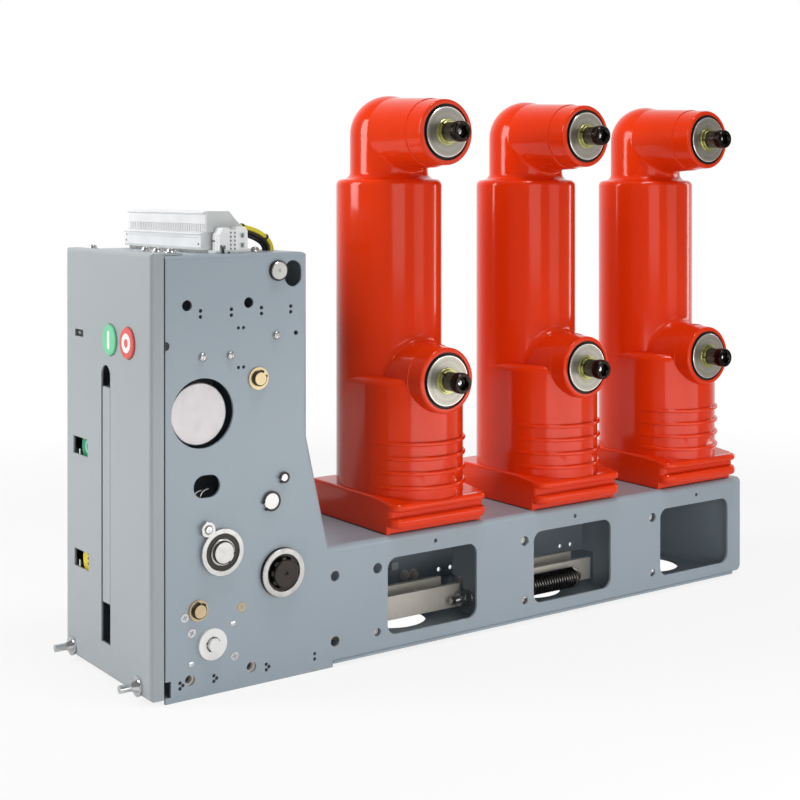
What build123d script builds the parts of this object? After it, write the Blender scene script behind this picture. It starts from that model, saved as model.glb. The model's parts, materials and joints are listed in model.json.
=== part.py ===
from build123d import *
import os
from math import atan2, cos, tan

os.makedirs("parts", exist_ok=True)

# Axes: X runs along the row of poles, Y from the terminal side to the rear, Z up.
# Lengths are in millimetres. The working origin is the foot of the near side plate.

# Folded frame
frame_depth = 205.6
frame_sheet = 3.0
bend_radius = 6.0
housing_height = 441.8
housing_length = 166.0
slope_top = 248.3
slope_foot = 193.0
base_height = 128.5
base_end = 836.8
foot_end = 197.0
base_foot = 7.0
corner_round = 8.0
fold_flange = 15.0
cover_gap = 0.8
foot_notch_length = 6.0
foot_notch_low = 6.0
foot_notch_high = 22.0

# Windows and fixing holes of the base
window_start = 268.4
window_width = 124.6
window_bottom = 20.4
window_height = 84.3
window_round = 12.0
fixing_start = 255.0
fixing_high = 96.2
fixing_low = 26.8
fixing_high_r = 5.75
fixing_low_r = 4.5
foot_fixing_x = 200.0
foot_fixing_r = 5.5
vent_x = 334.0
vent_drop = 13.2
vent_r = 2.4
rear_hole_x = 283.0
rear_hole_pitch = 19.0
rear_hole_z = 16.5
rear_hole_r = 3.0

# Holes of the mechanism side
drum_hole_x = 42.0
drum_hole_z = 283.0
drum_hole_r = 35.2
corner_slot_x = 147.8
corner_slot_drop = 22.2
corner_slot_width = 20.3
corner_slot_length = 27.4
stub_x = 129.4
stub_drop = 18.7
stub_r = 9.3
stub_hole_r = 10.6
stub_proud = 9.0
tool_hole_r = 5.5
upper_tool_left = 24.7
upper_tool_right = 94.9
upper_tool_drop = 50.4
lower_tool_left = 27.7
lower_tool_right = 97.8
lower_tool_z = 19.1
rivet_start = 39.7
rivet_pitch = 35.1
rivet_count = 4
rivet_high_drop = 56.2
rivet_low_drop = 62.2
rivet_r = 2.0
oval_x = 46.7
oval_z = 209.6
oval_length = 30.0
oval_width = 23.0
side_hole_x = 151.3
side_hole_z = 357.6
side_hole_r = 2.5
peg_pair_x = 82.9
peg_pair_pitch = 6.0
peg_pair_high = 366.3
peg_pair_low = 326.1
peg_hole_r = 1.8
clover_pitch = 5.6
clover_hole_r = 1.9
clover_xs = (16.7, 54.6, 115.4, 174.2)
clover_z = 15.7

# Poles
pole_count = 3
pole_pitch = 210.0
pole_x = 337.0
pole_y = 94.2
column_r = 61.6
column_top = 519.0
shoulder_round = 7.0
neck_r = 45.6
neck_blend = 8.5
upper_z = 570.5
lower_z = 295.0
upper_reach = 110.6
lower_reach = 111.2
upper_root_r = 43.5
lower_root_r = 42.0
arm_tip_r = 39.0
cap_rear_r = 38.2
cap_front_r = 36.6
cap_edge = 2.5
upper_cap = 26.0
lower_cap = 22.0
elbow_blend = 5.0
root_blend = 8.0
bulge_offset = 40.0
bulge_top = 296.7
bulge_round = 9.0
rib_count = 4
rib_first = 48.0
rib_pitch = 16.2
rib_reach = 5.0
rib_height = 4.6
rib_edge = 1.6
rib_fade = 0.5

# Plinth of each pole
plinth_half = 65.7
plinth_front = 104.9
plinth_rear = 68.0
plinth_height = 38.5
plinth_round = 8.0
plinth_edge = 3.0
plinth_slope = 46.0
fin_reach = 9.0
fin_depth = 40.0
fin_round = 13.0
fin_upper_low = 26.0
fin_upper_high = 34.5
fin_lower_low = 7.5
fin_lower_high = 19.5
fin_upper_edge = 3.8
fin_lower_edge = 4.5
lip_height = 10.0
lip_setback = 8.0

# Terminal contacts and screws
rim_depth = 4.0
rim_inner_r = 31.6
contact_r = 28.2
contact_edge = 0.8
contact_back_r = 24.0
contact_back = 20.0
washer_r = 15.0
washer_thick = 3.0
lock_washer_r = 13.0
lock_washer_thick = 4.0
sleeve_r = 10.6
sleeve_length = 9.0
screw_r = 12.0
screw_head = 14.0
screw_edge = 1.0
screw_hexagon = 14.0
screw_socket_depth = 8.0

# Operator's cover
cover_front = 15.2
cover_bottom = 5.0
cover_sheet = 2.0
cover_bend = 4.0
tongue_length = 25.0
tongue_near = 4.0
tongue_far = 72.0
tongue_round = 8.0
button_z = 352.5
close_y = 91.8
open_y = 50.0
button_r = 16.0
button_clear = 0.6
button_proud = 2.4
button_disc = 8.0
button_edge = 1.0
stem_r = 5.0
stem_fit = 0.05
stem_end = 26.0
slot_y = 103.6
slot_half = 11.0
slot_bottom = 38.0
slot_top = 325.6
counter_inset = 34.8
counter_z = 353.6
counter_width = 21.5
counter_height = 7.8
state_inset = 38.1
state_z = 232.7
charge_inset = 40.8
charge_z = 112.2
flag_window_width = 37.0
flag_window_height = 18.8

# Guide plate of the button stems
guide_front = 6.0
guide_half = 20.0
guide_foot = 30.0

# Indicators and counter behind the cover
flag_setback = 5.0
flag_half_height = 16.0
flag_near = 4.0
flag_far = 26.0
flag_arm_half = 8.0
flag_arm_end = 20.0
flag_sheet = 2.0
counter_setback = 2.4
counter_half = 15.0
counter_half_height = 9.0
counter_end = 16.0

# Charging lever
lever_bottom = 80.0
lever_top = 303.0
lever_width = 17.4
lever_near = 93.4
lever_depth = 12.0
lever_sheet = 2.0
lever_ear_top = 140.0
pivot_x = 10.0
pivot_z = 92.0
pivot_r = 6.0
pivot_fit = 0.05
hub_r = 10.0

# Shafts and pins of the mechanism
drum_x = 40.7
drum_z = 281.8
drum_r = 31.5
drum_edge = 1.5
drum_depth = 60.0
drum_recess = 3.0
drum_shaft_r = 12.0
charge_shaft_x = 62.4
charge_shaft_z = 142.4
charge_shaft_r = 10.5
charge_shaft_proud = 8.0
charge_ring_r = 23.5
charge_lip_r = 19.0
main_shaft_x = 133.5
main_shaft_z = 111.1
main_shaft_r = 16.5
main_shaft_proud = 12.0
main_ring_r = 25.0
main_lip_r = 21.5
main_centre_r = 4.5
spline_count = 16
spline_depth = 1.6
spline_width = 3.2
ring_proud = 5.0
ring_lip = 2.0
shaft_clear = 0.3
circlip_groove = 1.5
circlip_depth = 1.0
circlip_setback = 2.5
brass_high_x = 105.7
brass_high_z = 313.5
brass_low_x = 36.6
brass_low_z = 87.1
brass_high_washer = 11.5
brass_low_washer = 10.5
brass_pin_r = 6.5
steel_pin_x = 120.7
steel_pin_z = 186.1
steel_pin_r = 9.0
small_pin_x = 135.8
small_pin_z = 208.8
small_pin_r = 4.5
pin_proud = 6.0
pin_washer = 2.0
lock_x = 52.2
lock_z = 51.2
lock_r = 15.75
lock_thick = 3.0
lock_hexagon = 12.0
lock_hexagon_proud = 4.0

# Studs at the foot of the cover
stud_near_y = 28.5
stud_far_inset = 16.6
stud_z = 14.5
stud_r = 4.0
stud_cone = 6.0
stud_cone_r = 7.0
stud_length = 20.0
stud_washer_r = 10.5
stud_washer = 2.0

# Terminal block on the roof
block_start = 30.3
block_overhang = 4.4
block_front = 56.0
block_rear = 101.8
block_band = 61.0
block_crest = 87.0
block_shoulder = 95.5
block_top = 42.6
block_shoulder_z = 33.0
block_rear_top = 27.5
block_ledge = 20.5
band_low = 22.0
band_high = 29.7
band_slot = 1.6
band_slot_depth = 3.0
band_pitch = 4.0
strip_groove_z = 14.5
strip_groove = 1.4
rail_front = 62.0
rail_rear = 103.0
rail_thick = 3.0
end_cap_thick = 3.5
end_cap_low = 21.0

# Wire harness
harness_r = 7.0
harness_y = 48.0
harness_run = 23.0
harness_bend_x = 146.0
harness_high = 24.2
harness_mid = 20.2
harness_low = 11.2
harness_bends = (60.0, 14.0)

# Bottom pan and inside of the base
pan_thick = 3.4
pan_end = 823.5
pan_side = 1.0
pan_bend = 6.0
pan_hole_r = 43.0
bracket_offset = 82.0
bracket_depth = 79.0
bracket_sheet = 3.0
bracket_top_gap = 4.0
bracket_notch_y = 60.0
bracket_notch_z = 48.0
bar_start = 105.0
bar_end = 78.5
bar_front_y = 60.5
bar_rear_y = 97.0
bar_thick = 6.0
bar_low = 15.0
bar_high = 42.0
bar_foot_start = 101.0
bar_foot_length = 26.0
spacer_offset = 40.0
spacer_r = 5.0
spring_y = 45.0
spring_z = 27.0
spring_r = 13.0
spring_wire = 4.0
spring_coils = 20
spring_end = 38.0
spring_rod_r = 3.0
spring_eye_r = 4.0
spring_eye_gap = 2.0
stop_y = 48.0
stop_r = 4.5
stop_length = 27.0
stop_nut = 16.0
stop_nut_length = 9.0

cut_margin = 1.0
inner_rear = frame_depth - frame_sheet
inner_top = base_height - frame_sheet
roof_under = housing_height - frame_sheet
counter_y = frame_depth - counter_inset
state_y = frame_depth - state_inset
charge_y = frame_depth - charge_inset
stud_far_y = frame_depth - stud_far_inset
block_end = frame_depth + block_overhang


def prism(points, y0, y1):
    # Solid between two depths, with an outline given as X and Z values
    face = make_face(Plane.XZ * Polyline(*points, close=True))
    return Pos(0, y0, 0) * extrude(face, amount=y1 - y0, dir=(0, 1, 0))


def block(x0, x1, y0, y1, z0, z1):
    # Box between its low and high corners
    return Pos((x0 + x1) / 2, (y0 + y1) / 2, (z0 + z1) / 2) * Box(x1 - x0, y1 - y0, z1 - z0)


def rod_x(y, z, radius, x0, x1):
    return Pos((x0 + x1) / 2, y, z) * Rot(0, 90, 0) * Cylinder(radius, x1 - x0)


def rod_y(x, z, radius, y0, y1):
    return Pos(x, (y0 + y1) / 2, z) * Rot(90, 0, 0) * Cylinder(radius, y1 - y0)


def rod_z(x, y, radius, z0, z1):
    return Pos(x, y, (z0 + z1) / 2) * Cylinder(radius, z1 - z0)


def turned(steps):
    # Turned piece standing on the origin along Z, from (radius, length) steps
    outline = [(0, 0)]
    height = 0
    for radius, length in steps:
        outline += [(radius, height), (radius, height + length)]
        height += length
    outline.append((0, height))
    return revolve(make_face(Plane.XZ * Polyline(*outline, close=True)), Axis.Z)


def facing_y(x, y, z):
    # Place that points a turned piece away from the near side plate
    return Pos(x, y, z) * Rot(90, 0, 0)


def facing_x(x, y, z):
    # Place that points a turned piece away from the cover
    return Pos(x, y, z) * Rot(0, -90, 0)


def joined(shapes):
    result = shapes[0]
    for shape in shapes[1:]:
        result += shape
    return result


parts = {}

# Outline of the folded sheet, and the same outline one sheet further in
slope_angle = atan2(slope_foot - housing_length, slope_top - base_height)
slope_run = tan(slope_angle)
slope_shift = frame_sheet / cos(slope_angle)
inner_x = housing_length - frame_sheet
inner_break = slope_top - (frame_sheet - slope_shift) / slope_run
beyond = frame_sheet + cut_margin


def slope_x(z, inset):
    return slope_foot - (z - base_height) * slope_run - inset


outer_outline = [
    (cover_gap, 0), (foot_end, 0), (foot_end, base_foot), (base_end, base_foot),
    (base_end, base_height), (slope_foot, base_height), (housing_length, slope_top),
    (housing_length, housing_height), (cover_gap, housing_height),
]
inner_outline = [
    (cover_gap - beyond, -beyond), (base_end + beyond, -beyond), (base_end + beyond, inner_top),
    (slope_x(inner_top, slope_shift), inner_top), (inner_x, inner_break),
    (inner_x, roof_under), (cover_gap - beyond, roof_under),
]


def bent_prism(points, y0, y1, radius, x_limit):
    # Prism whose near edges along the top, slope and back are rounded as a fold
    solid = prism(points, y0, y1)
    near = solid.faces().sort_by(Axis.Y)[0].edges()
    folded = near.filter_by(
        lambda e: e.center().Z > window_bottom and cover_gap + cut_margin < e.center().X < x_limit
    )
    return fillet(folded, radius)


def corner_cutter(x, z, sx, sz):
    # Spandrel that rounds a plate corner; sx and sz point out of the plate
    cx, cz = x - sx * corner_round, z - sz * corner_round
    x0, x1 = sorted((cx, x + sx * cut_margin))
    z0, z1 = sorted((cz, z + sz * cut_margin))
    square = block(x0, x1, -cut_margin, frame_depth + cut_margin, z0, z1)
    return square - rod_y(cx, cz, corner_round, -2 * cut_margin, frame_depth + 2 * cut_margin)


def plate_hole(x, z, radius):
    return rod_y(x, z, radius, -cut_margin, frame_sheet + cut_margin)


def plate_slot(x, z, length, width, turn):
    outline = Pos(x, -cut_margin, z) * Rot(90, 0, 0) * SlotOverall(length, width, rotation=turn)
    return extrude(outline, amount=frame_sheet + 2 * cut_margin, dir=(0, 1, 0))


near_sheet = bent_prism(outer_outline, 0, fold_flange, bend_radius, base_end - cut_margin)
near_sheet -= bent_prism(
    inner_outline, frame_sheet, frame_depth, bend_radius - frame_sheet, base_end + cut_margin,
)
near_sheet -= corner_cutter(base_end, base_foot, 1, -1)
near_sheet -= corner_cutter(housing_length, housing_height, 1, 1)
near_sheet -= block(
    0, cover_gap + foot_notch_length, -cut_margin, frame_sheet + cut_margin,
    foot_notch_low, foot_notch_high,
)

# Base: a window, two fixing holes and a small vent for each pole
window_outline = RectangleRounded(window_width, window_height, window_round)
for index in range(pole_count):
    shift = index * pole_pitch
    middle_x = window_start + shift + window_width / 2
    middle_z = window_bottom + window_height / 2
    window = Pos(middle_x, -cut_margin, middle_z) * Rot(90, 0, 0) * window_outline
    near_sheet -= extrude(window, amount=frame_sheet + 2 * cut_margin, dir=(0, 1, 0))
    near_sheet -= plate_hole(fixing_start + shift, fixing_high, fixing_high_r)
    near_sheet -= plate_hole(fixing_start + shift, fixing_low, fixing_low_r)
    near_sheet -= plate_hole(vent_x + shift, base_height - vent_drop, vent_r)
for z in (fixing_high, fixing_low):
    near_sheet -= plate_hole(foot_fixing_x, z, foot_fixing_r)

# Mechanism side: round holes, rows of rivet holes and three slots
for x, z, radius in (
    (drum_hole_x, drum_hole_z, drum_hole_r),
    (charge_shaft_x, charge_shaft_z, charge_shaft_r + shaft_clear),
    (main_shaft_x, main_shaft_z, main_shaft_r + shaft_clear),
    (stub_x, housing_height - stub_drop, stub_hole_r),
    (upper_tool_left, housing_height - upper_tool_drop, tool_hole_r),
    (upper_tool_right, housing_height - upper_tool_drop, tool_hole_r),
    (lower_tool_left, lower_tool_z, tool_hole_r),
    (lower_tool_right, lower_tool_z, tool_hole_r),
    (side_hole_x, side_hole_z, side_hole_r),
):
    near_sheet -= plate_hole(x, z, radius)
for index in range(rivet_count):
    for drop in (rivet_high_drop, rivet_low_drop):
        near_sheet -= plate_hole(rivet_start + index * rivet_pitch, housing_height - drop, rivet_r)
for z in (peg_pair_high, peg_pair_low):
    for x in (peg_pair_x, peg_pair_x + peg_pair_pitch):
        near_sheet -= plate_hole(x, z, peg_hole_r)
for x in clover_xs:
    for z in (clover_z - clover_pitch / 2, clover_z + clover_pitch / 2):
        near_sheet -= plate_hole(x, z, clover_hole_r)
corner_slot_z = housing_height - corner_slot_drop
near_sheet -= plate_slot(corner_slot_x, corner_slot_z, corner_slot_length, corner_slot_width, 90)
near_sheet -= plate_slot(oval_x, oval_z, oval_length, oval_width, 0)
parts["near_side_plate"] = near_sheet

# Rear side plate, closing the frame behind the folded top
rear_outline = [
    (cover_gap, 0), (foot_end, 0), (foot_end, base_foot), (base_end, base_foot),
    (base_end, inner_top), (slope_x(inner_top, 0), inner_top), (slope_foot, base_height),
    (housing_length, slope_top), (housing_length, housing_height), (cover_gap, housing_height),
]
rear_plate = prism(rear_outline, inner_rear, frame_depth)
rear_plate -= corner_cutter(base_end, base_foot, 1, -1)
rear_plate -= corner_cutter(housing_length, housing_height, 1, 1)
for index in range(pole_count):
    for offset in (0, rear_hole_pitch):
        x = rear_hole_x + index * pole_pitch + offset
        rear_plate -= rod_y(x, rear_hole_z, rear_hole_r, inner_rear - cut_margin, frame_depth + cut_margin)
parts["rear_side_plate"] = rear_plate

# Plates between the two sides
parts["base_top_plate"] = block(slope_foot, base_end, fold_flange, inner_rear, inner_top, base_height)
parts["housing_back_plate"] = prism(
    [
        (slope_x(base_height, 0), base_height), (housing_length, slope_top),
        (housing_length, housing_height - corner_round), (inner_x, housing_height - corner_round),
        (inner_x, inner_break), (slope_x(base_height, slope_shift), base_height),
    ],
    fold_flange, inner_rear,
)
parts["housing_top_plate"] = block(
    cover_gap, housing_length - corner_round, fold_flange, inner_rear, roof_under, housing_height,
)
parts["housing_floor"] = block(
    cover_gap + corner_round, foot_end, frame_sheet, inner_rear, 0, frame_sheet,
)

# Bottom pan under the base, with a round opening below each pole and its end turned up
pan = block(foot_end, pan_end, pan_side, frame_depth - pan_side, base_foot - pan_thick, base_foot)
for index in range(pole_count):
    pan -= rod_z(pole_x + index * pole_pitch, pole_y, pan_hole_r, 0, base_foot + cut_margin)
end_wall = block(pan_end - pan_thick, pan_end, frame_sheet, inner_rear, base_foot - pan_thick, inner_top)
near_corner = end_wall.edges().filter_by(Axis.X).sort_by(Axis.Y)[:2].sort_by(Axis.Z)[-1]
pan += fillet(near_corner, bend_radius)
fold = pan.edges().filter_by(Axis.Y).filter_by(
    lambda e: pan_end - 2 * pan_thick < e.center().X < pan_end and abs(e.center().Z - base_foot) < cut_margin
)
parts["bottom_pan"] = fillet(fold, pan_bend)

# Bay brackets behind the near sheet, with the lower rear corner cut away
brackets = []
for index in range(pole_count - 1):
    x = pole_x + index * pole_pitch + bracket_offset
    side = block(x, x + bracket_sheet, frame_sheet, bracket_depth, base_foot, inner_top - bracket_top_gap)
    side -= block(
        x - cut_margin, x + bracket_sheet + cut_margin, bracket_notch_y, bracket_depth + cut_margin,
        base_foot - cut_margin, bracket_notch_z,
    )
    brackets.append(side)
parts["bay_brackets"] = joined(brackets)

# Link bars in the first two bays, each pair on a foot, with a spacer between the two
spacer_z = (bar_low + bar_high) / 2
for index in range(pole_count - 1):
    axis_x = pole_x + index * pole_pitch
    foot_x = axis_x - bar_foot_start
    bars = block(
        foot_x, foot_x + bar_foot_length, bar_front_y, bar_rear_y + bar_thick, base_foot, bar_low,
    )
    for y in (bar_front_y, bar_rear_y):
        bars += block(axis_x - bar_start, axis_x + bar_end, y, y + bar_thick, bar_low, bar_high)
    bars += rod_y(axis_x + spacer_offset, spacer_z, spacer_r, bar_front_y, bar_rear_y)
    parts[f"link_bars_{index + 1}"] = bars

# Front cover, a shallow folded tray with a tongue that lies on the roof
cover_top = housing_height + cover_sheet
cover = block(-cover_front, -cover_gap, 0, frame_depth, cover_bottom, cover_top)
cover = fillet(cover.faces().sort_by(Axis.X)[0].edges(), cover_bend)
hollow = block(
    cover_sheet - cover_front, cover_gap, cover_sheet, frame_depth - cover_sheet,
    cover_bottom + cover_sheet, housing_height,
)
cover -= fillet(hollow.faces().sort_by(Axis.X)[0].edges(), cover_bend - cover_sheet)
cut_front = -cover_front - cut_margin
cut_back = cover_sheet - cover_front + cut_margin


def cover_window(y, z, width, height):
    return block(cut_front, cut_back, y - width / 2, y + width / 2, z - height / 2, z + height / 2)


cover -= cover_window(counter_y, counter_z, counter_width, counter_height)
cover -= cover_window(state_y, state_z, flag_window_width, flag_window_height)
cover -= cover_window(charge_y, charge_z, flag_window_width, flag_window_height)
slot_round_z = slot_top - slot_half
cover -= block(cut_front, cut_back, slot_y - slot_half, slot_y + slot_half, slot_bottom, slot_round_z)
cover -= rod_x(slot_y, slot_round_z, slot_half, cut_front, cut_back)
for y in (close_y, open_y):
    cover -= rod_x(y, button_z, button_r + button_clear, cut_front, cut_back)
tongue = block(-cover_gap - cover_sheet, tongue_length, tongue_near, tongue_far, housing_height, cover_top)
tongue_corners = tongue.edges().filter_by(Axis.Z).group_by(Axis.X)[-1]
parts["front_cover"] = cover + fillet(tongue_corners, tongue_round)

# Charging lever, a channel with two ears and a hub on its shaft
lever_far = lever_near + lever_width
lever = block(-cover_front, lever_sheet - cover_front, lever_near, lever_far, lever_bottom, lever_top)
ear_outline = [
    (-cover_front, lever_bottom), (pivot_x, pivot_z - hub_r), (pivot_x, pivot_z + hub_r),
    (-cover_front, lever_ear_top),
]
for y in (lever_near, lever_far - lever_sheet):
    lever += block(-cover_front, lever_depth - cover_front, y, y + lever_sheet, lever_bottom, lever_top)
    lever += prism(ear_outline, y, y + lever_sheet)
lever += rod_y(pivot_x, pivot_z, hub_r, lever_near, lever_far)
lever -= rod_y(pivot_x, pivot_z, pivot_r + pivot_fit, lever_near - cut_margin, lever_far + cut_margin)
parts["charging_lever"] = lever
parts["lever_shaft"] = rod_y(pivot_x, pivot_z, pivot_r, frame_sheet, inner_rear)

# Push buttons, and the angle plate that guides their stems
button_face = -cover_front - button_proud
for name, y in (("close_button", close_y), ("open_button", open_y)):
    disc = rod_x(y, button_z, button_r, button_face, button_face + button_disc)
    disc = chamfer(disc.faces().sort_by(Axis.X)[0].edges(), button_edge)
    parts[name] = disc + rod_x(y, button_z, stem_r, -cover_front, stem_end)
guide_far = close_y + guide_half
guide_back = guide_front + frame_sheet
guide_low, guide_high = button_z - guide_half, button_z + guide_half
guide = block(guide_front, guide_back, frame_sheet, guide_far, guide_low, guide_high)
guide += block(guide_front, guide_foot, frame_sheet, 2 * frame_sheet, guide_low, guide_high)
for y in (close_y, open_y):
    guide -= rod_x(y, button_z, stem_r + stem_fit, guide_front - cut_margin, guide_back + cut_margin)
parts["button_guide"] = guide

# Indicators behind their windows, each on an arm from the rear plate
flag_front = flag_setback - cover_front
for name, y, z in (("state_flag", state_y, state_z), ("charge_flag", charge_y, charge_z)):
    arm_y = y + flag_far - flag_sheet
    arm_low, arm_high = z - flag_arm_half, z + flag_arm_half
    flag_back = flag_front + flag_sheet
    flag_low, flag_high = z - flag_half_height, z + flag_half_height
    flag = block(flag_front, flag_back, y - flag_near, y + flag_far, flag_low, flag_high)
    flag += block(flag_front, flag_arm_end, arm_y, y + flag_far, arm_low, arm_high)
    flag += block(flag_arm_end - flag_sheet, flag_arm_end, arm_y, inner_rear, arm_low, arm_high)
    parts[name] = flag
parts["counter"] = block(
    counter_setback - cover_front, counter_end, counter_y - counter_half, inner_rear,
    counter_z - counter_half_height, counter_z + counter_half_height,
)

# Spring drum behind its hole, on a shaft from the rear plate
drum_front = frame_sheet + drum_recess
drum = rod_y(drum_x, drum_z, drum_r, drum_front, drum_front + drum_depth)
drum = fillet(drum.faces().sort_by(Axis.Y)[0].edges(), drum_edge)
parts["spring_drum"] = drum + rod_y(drum_x, drum_z, drum_shaft_r, drum_front + drum_depth, inner_rear)

# Charging shaft with a circlip groove, and the splined main shaft
charge_shaft = rod_y(charge_shaft_x, charge_shaft_z, charge_shaft_r, -charge_shaft_proud, inner_rear)
groove_front = circlip_setback - charge_shaft_proud
groove_back = groove_front + circlip_groove
groove = rod_y(charge_shaft_x, charge_shaft_z, charge_shaft_r + cut_margin, groove_front, groove_back)
groove -= rod_y(
    charge_shaft_x, charge_shaft_z, charge_shaft_r - circlip_depth,
    groove_front - cut_margin, groove_back + cut_margin,
)
parts["charging_shaft"] = charge_shaft - groove
main_shaft = rod_y(main_shaft_x, main_shaft_z, main_shaft_r, -main_shaft_proud, inner_rear)
main_shaft -= rod_y(main_shaft_x, main_shaft_z, main_centre_r, -main_shaft_proud - cut_margin, 0)
tooth_gap = Box(2 * spline_depth, main_shaft_proud, spline_width)
teeth = facing_y(main_shaft_x, -main_shaft_proud / 2, main_shaft_z)
for place in PolarLocations(main_shaft_r, spline_count):
    main_shaft -= teeth * place * Rot(90, 0, 0) * tooth_gap
parts["main_shaft"] = main_shaft

# Flanged rings round both shafts
rings = []
for x, z, outer, lip, bore in (
    (charge_shaft_x, charge_shaft_z, charge_ring_r, charge_lip_r, charge_shaft_r + shaft_clear),
    (main_shaft_x, main_shaft_z, main_ring_r, main_lip_r, main_shaft_r + shaft_clear),
):
    ring = rod_y(x, z, outer, -ring_proud, 0)
    ring -= rod_y(x, z, lip, -ring_proud - cut_margin, -ring_proud + ring_lip)
    rings.append(ring - rod_y(x, z, bore, -ring_proud - cut_margin, cut_margin))
parts["shaft_bearings"] = joined(rings)

# Pins through the near side plate
pin_steps = (pin_proud - circlip_setback - circlip_groove, circlip_groove, circlip_setback)


def grooved_pin(x, z, radius):
    steps = zip((radius, radius - circlip_depth, radius), pin_steps)
    return facing_y(x, 0, z) * turned(list(steps))


def washered_pin(x, z, washer):
    return facing_y(x, 0, z) * turned([(washer, pin_washer), (brass_pin_r, pin_proud - pin_washer)])


stub = rod_y(stub_x, housing_height - stub_drop, stub_r, -stub_proud, frame_sheet)
parts["pivot_pins"] = joined([
    chamfer(stub.faces().sort_by(Axis.Y)[0].edges(), button_edge)
    + rod_y(stub_x, housing_height - stub_drop, drum_shaft_r, frame_sheet, frame_sheet + drum_recess),
    grooved_pin(steel_pin_x, steel_pin_z, steel_pin_r),
    grooved_pin(small_pin_x, small_pin_z, small_pin_r),
])
parts["brass_pins"] = joined([
    washered_pin(brass_high_x, brass_high_z, brass_high_washer),
    washered_pin(brass_low_x, brass_low_z, brass_low_washer),
])
lock_nut = extrude(RegularPolygon(lock_hexagon / 2, 6, major_radius=False), lock_hexagon_proud)
lock = turned([(lock_r, lock_thick)]) + Pos(0, 0, lock_thick) * lock_nut
parts["lock_disc"] = facing_y(lock_x, 0, lock_z) * lock

# Studs at the foot of the cover, each with a washer and a conical neck
stud_outline = [
    (0, 0), (stud_washer_r, 0), (stud_washer_r, stud_washer), (stud_cone_r, stud_washer),
    (stud_r, stud_washer + stud_cone), (stud_r, stud_length), (0, stud_length),
]
stud = revolve(make_face(Plane.XZ * Polyline(*stud_outline, close=True)), Axis.Z)
parts["cover_studs"] = joined([
    facing_x(-cover_front, y, stud_z) * stud for y in (stud_near_y, stud_far_y)
])

# Row of terminals on the roof
rail_top = housing_height + rail_thick
parts["terminal_rail"] = block(
    rail_front, rail_rear, block_start - end_cap_thick, block_end, housing_height, rail_top,
)
roof_profile = [
    (block_front, rail_top), (block_front, housing_height + block_ledge),
    (block_band, housing_height + band_low), (block_band, housing_height + band_high),
    (block_band, housing_height + block_top), (block_crest, housing_height + block_top),
    (block_shoulder, housing_height + block_shoulder_z), (block_rear, housing_height + block_rear_top),
    (block_rear, rail_top),
]
terminals = prism(roof_profile, block_start, block_end)
slot_z = housing_height + (band_low + band_high) / 2
slot_cutter = Box(2 * band_slot_depth, band_slot, band_high - band_low)
slot_count = int((block_end - block_start) / band_pitch)
for index in range(slot_count):
    y = block_start + (index + 0.5) * band_pitch
    terminals -= Pos(block_band, y, slot_z) * slot_cutter
groove_z = housing_height + strip_groove_z
terminals -= block(
    block_front - cut_margin, block_front + strip_groove,
    block_start + band_pitch, block_end - band_pitch, groove_z, groove_z + strip_groove,
)
parts["terminal_block"] = terminals
cap_outline = [
    (block_band, housing_height + end_cap_low), (block_band, housing_height + block_top),
    (block_crest, housing_height + block_top), (block_shoulder, housing_height + block_shoulder_z),
    (block_rear, housing_height + block_rear_top), (block_rear, rail_top), (block_crest, rail_top),
    (block_crest, housing_height + end_cap_low),
]
parts["terminal_end_cap"] = prism(cap_outline, block_start - end_cap_thick, block_start)

# Wire harness from the row of terminals to the roof
harness_points = [
    (block_rear, harness_y, housing_height + harness_high),
    (block_rear + harness_run, harness_y, housing_height + harness_mid),
    (harness_bend_x, harness_y, housing_height + harness_low),
    (harness_bend_x, harness_y, housing_height),
]
route = FilletPolyline(*harness_points, radius=list(harness_bends))
harness = sweep(Plane(route @ 0, z_dir=route % 0) * Circle(harness_r), route)
harness -= block(
    block_rear - 2 * harness_r, block_rear, harness_y - 2 * harness_r, harness_y + 2 * harness_r,
    housing_height, housing_height + block_top,
)
parts["wire_harness"] = harness
print("harness bends", harness_bends, "length", round(route.length, 1))

# Opening spring in the second bay, hooked between the bracket and an eye on the front bar
spring_x1 = pole_x + pole_pitch + spring_end
spring_x0 = spring_x1 - spring_coils * spring_wire
coil_outline = [(spring_x0, 0)]
for index in range(spring_coils):
    x = spring_x0 + index * spring_wire
    coil_outline += [(x, spring_r - spring_wire / 2), (x + spring_wire / 2, spring_r)]
coil_outline += [(spring_x1, spring_r - spring_wire / 2), (spring_x1, 0)]
coils = revolve(make_face(Polyline(*coil_outline, close=True)), Axis.X)
hook_x = spring_x1 + spring_eye_gap
spring_anchor = pole_x + bracket_offset + bracket_sheet
spring = Pos(0, spring_y, spring_z) * coils
spring += rod_x(spring_y, spring_z, spring_rod_r, spring_anchor, spring_x0)
spring += rod_y(hook_x, spring_z, spring_eye_r, spring_y - spring_rod_r, bar_front_y)
spring += rod_x(spring_y, spring_z, spring_rod_r, spring_x1, hook_x)
parts["opening_spring"] = spring

# Stop screw in the first bay, with its nut against the bracket
stop_x = pole_x + bracket_offset
nut = extrude(RegularPolygon(stop_nut / 2, 6, major_radius=False), stop_nut_length)
stop_screw = rod_x(stop_y, spring_z, stop_r, stop_x - stop_length, stop_x)
parts["stop_screw"] = stop_screw + Pos(stop_x - stop_nut_length, stop_y, spring_z) * Rot(0, 90, 0) * nut


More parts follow.
